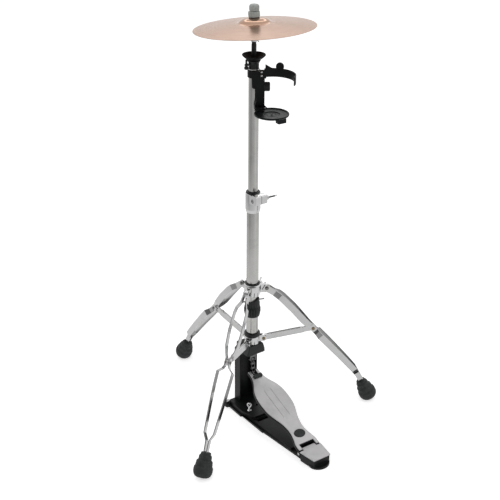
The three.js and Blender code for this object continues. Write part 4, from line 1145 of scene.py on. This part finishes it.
def build_arm(place):
    """The open hoop that holds a bottle, with its tail, its pointed stop and its round end lug."""
    ring_x, ring_y, ring_r, half_wall = 40.0, -50.0, 45.0, 1.2
    bottom = points_in("holder_arm", place)[:, 2].min()
    top = bottom + 18.5
    tail_y = (-16.5 - 2 * half_wall, -16.5)
    first, last, steps = math.radians(-22), math.radians(114), 72

    def on_hoop(radius, angle):
        return ring_x + radius * math.cos(angle), ring_y + radius * math.sin(angle)

    outer = [on_hoop(ring_r + half_wall, a) for a in np.linspace(first, last, steps)]
    inner = [on_hoop(ring_r - half_wall, a) for a in np.linspace(last, first, steps)]
    tip = [on_hoop(ring_r + half_wall * math.cos(b), first - 0.03 * math.sin(b))
           for b in np.linspace(math.pi, 0, 7)[1:-1]]
    corner_y = on_hoop(ring_r, math.radians(113))[1]
    tail = block((12.4, 25.2), tail_y, (bottom, top))
    web = block((23.2, 25.6), (tail_y[0], corner_y + 1.5), (bottom, top))
    stop_turn = Matrix.Translation((23.9, corner_y + 0.6, top)) @ Matrix.Rotation(math.radians(12), 4, "Z")
    stop = placed(prism([(0, -1), (0, 8.5), (0.8, 8.5), (14, 0.2), (14, -1)], -half_wall, half_wall),
                  stop_turn @ STANDING)
    lug_angle = math.radians(72)
    lug = along(spun([(0, -2.4), (8.4, -2.4), (8.4, 2.4), (6.6, 2.4), (6.2, 1.5), (0, 1.5)], 0.5, 3, 64),
                (*on_hoop(ring_r, lug_angle), top + 4), (-math.cos(lug_angle), -math.sin(lug_angle), 0))
    arm = carved("holder_hoop", [prism([*outer, *inner, *tip], bottom, top), tail, web, stop, lug], (), place)
    stands_for("holder_arm", eased(arm, 0.5, 3), POWDER)


def build_dish(place, hinge, at_hinge):
    """The folding tray under the hoop, with its clip, its hinge tongue and the leaf over the hinge."""
    bottom, top, radius = 762.0, hinge.z, 36.7
    floor = bottom + 1.8
    profile = [
        (0, bottom), (radius - 3, bottom), (radius - 0.6, bottom + 1.2), (radius, bottom + 2.2),
        (radius, top - 0.8),
        (radius - 0.8, top), (radius - 2.2, top), (radius - 2.8, top - 0.7), (radius - 3.2, floor + 0.9),
        (18.4, floor + 0.8), (17.6, floor + 0.7), (17.1, floor - 0.7), (10.6, floor - 0.8),
        (9.8, floor - 0.4), (9.0, floor - 0.8), (2.4, floor - 0.8), (1.8, floor + 0.3), (0, floor + 0.4)]
    centre = Matrix.Translation((37.4, -46.0, 0))
    clip_outline = rounded([(28, -9.5), (41, -9.5), (41, 9.5), (28, 9.5)], 1.4, 4)
    clip = placed(prism(clip_outline, bottom - 6.0, bottom + 3.4),
                  centre @ Matrix.Rotation(math.radians(-57), 4, "Z"))
    notch = block((-10, 23.2), (hinge.y - 4, 10), (700, 800))
    cut = carved("dish_tool", [placed(spun(profile, 0.4, 3, 144), centre), clip], [notch], place)
    bowl = [tuple(v.co / MM) for v in cut.data.vertices], [tuple(p.vertices) for p in cut.data.polygons]
    bpy.data.objects.remove(cut)
    tongue_x = (11.6, 17.6)
    tongue = block(tongue_x, (hinge.y - 6, hinge.y), (hinge.z - 3.2, hinge.z + 0.4))
    barrel, pin = disc(3.4, *tongue_x), disc(1.6, 6.8, 22.4)
    dish = carved("holder_tray", [bowl, tongue, placed(barrel, at_hinge), placed(pin, at_hinge)], (), place)
    stands_for("holder_dish", eased(dish, 0.35, 2, 45), DISH)
    (x0, x1), (y0, y1) = (8.0, 21.4), (hinge.y - 13.5, hinge.y - 3.6)
    leaf_outline = rounded([(x0, y0), (x1, y0), (x1, y1), (x0, y1)], 1.6, 4)
    leaf = as_object("holder_leaf", prism(leaf_outline, hinge.z - 2.4, hinge.z - 0.5), place)
    piece(eased(leaf, 0.4, 3), body_of("holder_dish"), POWDER, "black_metal")


def build_knob(place, knob):
    """A lobed grip on the holder's clamping screw."""
    points = points_in("holder_knob", place)
    start, end = points[:, 0].min(), points[:, 0].max()
    grip = (points[:, 1].max() - points[:, 1].min()) / 2 + 1.4
    face = end - 12.4

    def lobed(row, angle, r, z):
        return (r - 0.85 * (0.5 - 0.5 * math.cos(angle * 6)) if r > grip * 0.7 else r), z

    turned("holder_knob", "holder_grip", NYLON, [
        (0, start), (2.5, start), (2.5, face), (grip - 1, face), (grip, face + 1.2), (grip, end - 2),
        (grip - 1.4, end - 0.4), (grip - 3, end), (grip - 3.6, end - 0.6), (0, end - 0.6)],
        0.6, 3, 144, place @ local_frame((0, knob.y, knob.z), (1, 0, 0), UP), lobed)


def build_wire(place, hinge):
    """A bent wire clip beside the spine that keeps the dish level."""
    route = [(6.6, 5, 2), (3.2, 4.6, 0.6), (2.4, 4.5, 6), (4.2, 4.5, 13), (6.0, 4.5, 20), (7.2, 4.7, 26)]
    line = [Vector(p) for p in curved([(x, hinge.y + y, hinge.z + z) for x, y, z in route], 6, 80,
                                      closed=False)]
    section = circle(0.75, 10)
    count = len(section)
    corners, faces = [], []
    for k, here in enumerate(line):
        turn = local_frame(here, line[min(k + 1, len(line) - 1)] - line[max(k - 1, 0)], (0, 1, 0))
        corners += [tuple(turn @ Vector((*p, 0))) for p in section]
    for k in range(0, len(corners) - count, count):
        for m in range(count):
            n = (m + 1) % count
            faces.append((k + m, k + n, k + count + n, k + count + m))
    faces += [tuple(range(count)), tuple(range(len(corners) - count, len(corners)))]
    piece(as_object("holder_wire", (corners, faces), place), body_of("holder_bracket"), CHAIN_STEEL, "steel")


# ---------------------------------------------------------------- the stage, lights and camera
def build_stage():
    """A pale floor: the camera sees it near white with its shadows, metal sees it shaded by direction."""
    side = (-6000, 6000)
    floor = as_object("studio_floor", block(side, side, (-30, -0.2)))
    made = Nodes("studio_floor")
    tree = made.tree
    made.fixed(Base_Color=(0.86, 0.86, 0.86, 1), Roughness=0.9, Specular_IOR_Level=0.1,
               Emission_Color=(1, 1, 1, 1))
    path = made.node("ShaderNodeLightPath")
    made.link(math_of(tree, "MULTIPLY", path.outputs["Is Camera Ray"], FLOOR_GLOW),
              made.shader.inputs["Emission Strength"])
    turn = math_of(tree, "ARCTAN2", dot_with(tree, made.place, CAMERA_RIGHT),
                   dot_with(tree, made.place, TO_CAMERA))
    turn = math_of(tree, "ADD", math_of(tree, "DIVIDE", turn, 2 * math.pi), 0.5)
    far = ramp_of(tree, turn, (0.0, 0.80), (0.18, 0.62), (0.27, 0.50), (0.345, 0.34), (0.41, 0.50),
                  (0.50, 0.55), (0.59, 0.70), (0.66, 0.86), (0.73, 0.66), (0.80, 0.82), (1.0, 0.80))
    length = made.node("ShaderNodeVectorMath", operation="LENGTH")
    made.link(made.place, length.inputs[0])
    share = ramp_of(tree, math_of(tree, "DIVIDE", length.outputs["Value"], 2.0), (0.30, 0.0), (0.72, 1.0))
    shaded = made.node("ShaderNodeMix", data_type="RGBA")
    made.link(share, shaded.inputs["Factor"])
    shaded.inputs["A"].default_value = (0.88, 0.88, 0.88, 1)
    made.link(far, shaded.inputs["B"])
    mirrored = made.node("ShaderNodeEmission")
    made.link(shaded.outputs["Result"], mirrored.inputs["Color"])
    choice = made.node("ShaderNodeMixShader")
    made.link(path.outputs["Is Glossy Ray"], choice.inputs["Fac"])
    made.link(made.shader.outputs[0], choice.inputs[1])
    made.link(mirrored.outputs[0], choice.inputs[2])
    made.link(choice.outputs[0], tree.nodes["Material Output"].inputs["Surface"])
    floor.data.materials.append(made.material)


def build_world():
    """White for the camera; a white studio, a dark room in front and one round lamp for reflections."""
    world = bpy.data.worlds.new("studio")
    bpy.context.scene.world = world
    world.use_nodes = True
    tree = world.node_tree
    tree.nodes.clear()
    output = tree.nodes.new("ShaderNodeOutputWorld")
    path = tree.nodes.new("ShaderNodeLightPath")
    way = tree.nodes.new("ShaderNodeTexCoord").outputs["Generated"]
    room = ramp_of(tree, dot_with(tree, way, DARK_ROOM), (0.50, 1.0), (0.80, 0.30), (0.97, 0.10))
    side = ramp_of(tree, dot_with(tree, way, GREY_SIDE), (0.45, 1.0), (0.92, 0.52))
    lamp = ramp_of(tree, dot_with(tree, way, ROUND_LAMP), (0.920, 0.0), (0.930, 1.0), (0.948, 1.0),
                   (0.956, 0.0))
    mirror = math_of(tree, "ADD", math_of(tree, "MULTIPLY", room, side), math_of(tree, "MULTIPLY", lamp, 1.6))
    glossy = path.outputs["Is Glossy Ray"]
    clear = math_of(tree, "MAXIMUM", path.outputs["Is Camera Ray"], path.outputs["Is Transmission Ray"])
    other = math_of(tree, "SUBTRACT", 1.0, math_of(tree, "MAXIMUM", glossy, clear))
    level = math_of(tree, "ADD", math_of(tree, "MULTIPLY", glossy, mirror), clear)
    level = math_of(tree, "ADD", level, math_of(tree, "MULTIPLY", other, ROOM_LIGHT))
    light = tree.nodes.new("ShaderNodeBackground")
    light.inputs["Color"].default_value = (1, 1, 1, 1)
    tree.links.new(level, light.inputs["Strength"])
    tree.links.new(light.outputs[0], output.inputs["Surface"])


def area_light(name, place, target, size, power):
    data = bpy.data.lights.new(name, "AREA")
    data.shape = "RECTANGLE"
    data.size, data.size_y = size
    data.energy = power
    obj = bpy.data.objects.new(name, data)
    obj.location = place
    obj.rotation_mode = "QUATERNION"
    obj.rotation_quaternion = (Vector(target) - Vector(place)).to_track_quat("-Z", "Y")
    obj.visible_glossy = False
    bpy.context.scene.collection.objects.link(obj)


def build_camera():
    data = bpy.data.cameras.new("camera")
    data.sensor_width = 36
    data.lens = LENS
    camera = bpy.data.objects.new("camera", data)
    pitch = math.radians(CAMERA_PITCH)
    forward = Vector((-TO_CAMERA.x * math.cos(pitch), -TO_CAMERA.y * math.cos(pitch), -math.sin(pitch)))
    camera.location = CAMERA_PLACE
    camera.rotation_mode = "QUATERNION"
    roll = Quaternion(forward, math.radians(CAMERA_ROLL))
    camera.rotation_quaternion = roll @ forward.to_track_quat("-Z", "Y")
    bpy.context.scene.collection.objects.link(camera)
    bpy.context.scene.camera = camera


build_camera()
build_world()
build_stage()
area_light("key", (-2.4, -1.6, 2.6), (0, 0, 0.5), (1.6, 1.6), 26)
area_light("fill", (1.8, -2.2, 1.4), (0, 0, 0.5), (1.8, 1.8), 12)
area_light("back", (0.6, 2.4, 2.2), (0, 0, 0.6), (2.0, 1.2), 14)

build_cymbal()
build_top_nut()
build_clutch()
build_wing_screw("clutch_screw", "clutch_thumb_screw", "clutch_screw_turn", 1.0)
build_cup()
build_tubes()
build_dial()
build_clamp()
build_wing_screw("clamp_wing_nut", "clamp_thumb_nut", "clamp_nut_turn", wing_half=1.9)
build_collars()
build_wing_screw("leg_collar_screw", "collar_thumb_screw", "leg_collar_screw_turn", wing_half=1.8)
build_legs()
build_board()
build_chain()
build_rod()
build_base()
build_eye_bolt()
build_holder()

bpy.context.scene.view_settings.view_transform = "Standard"
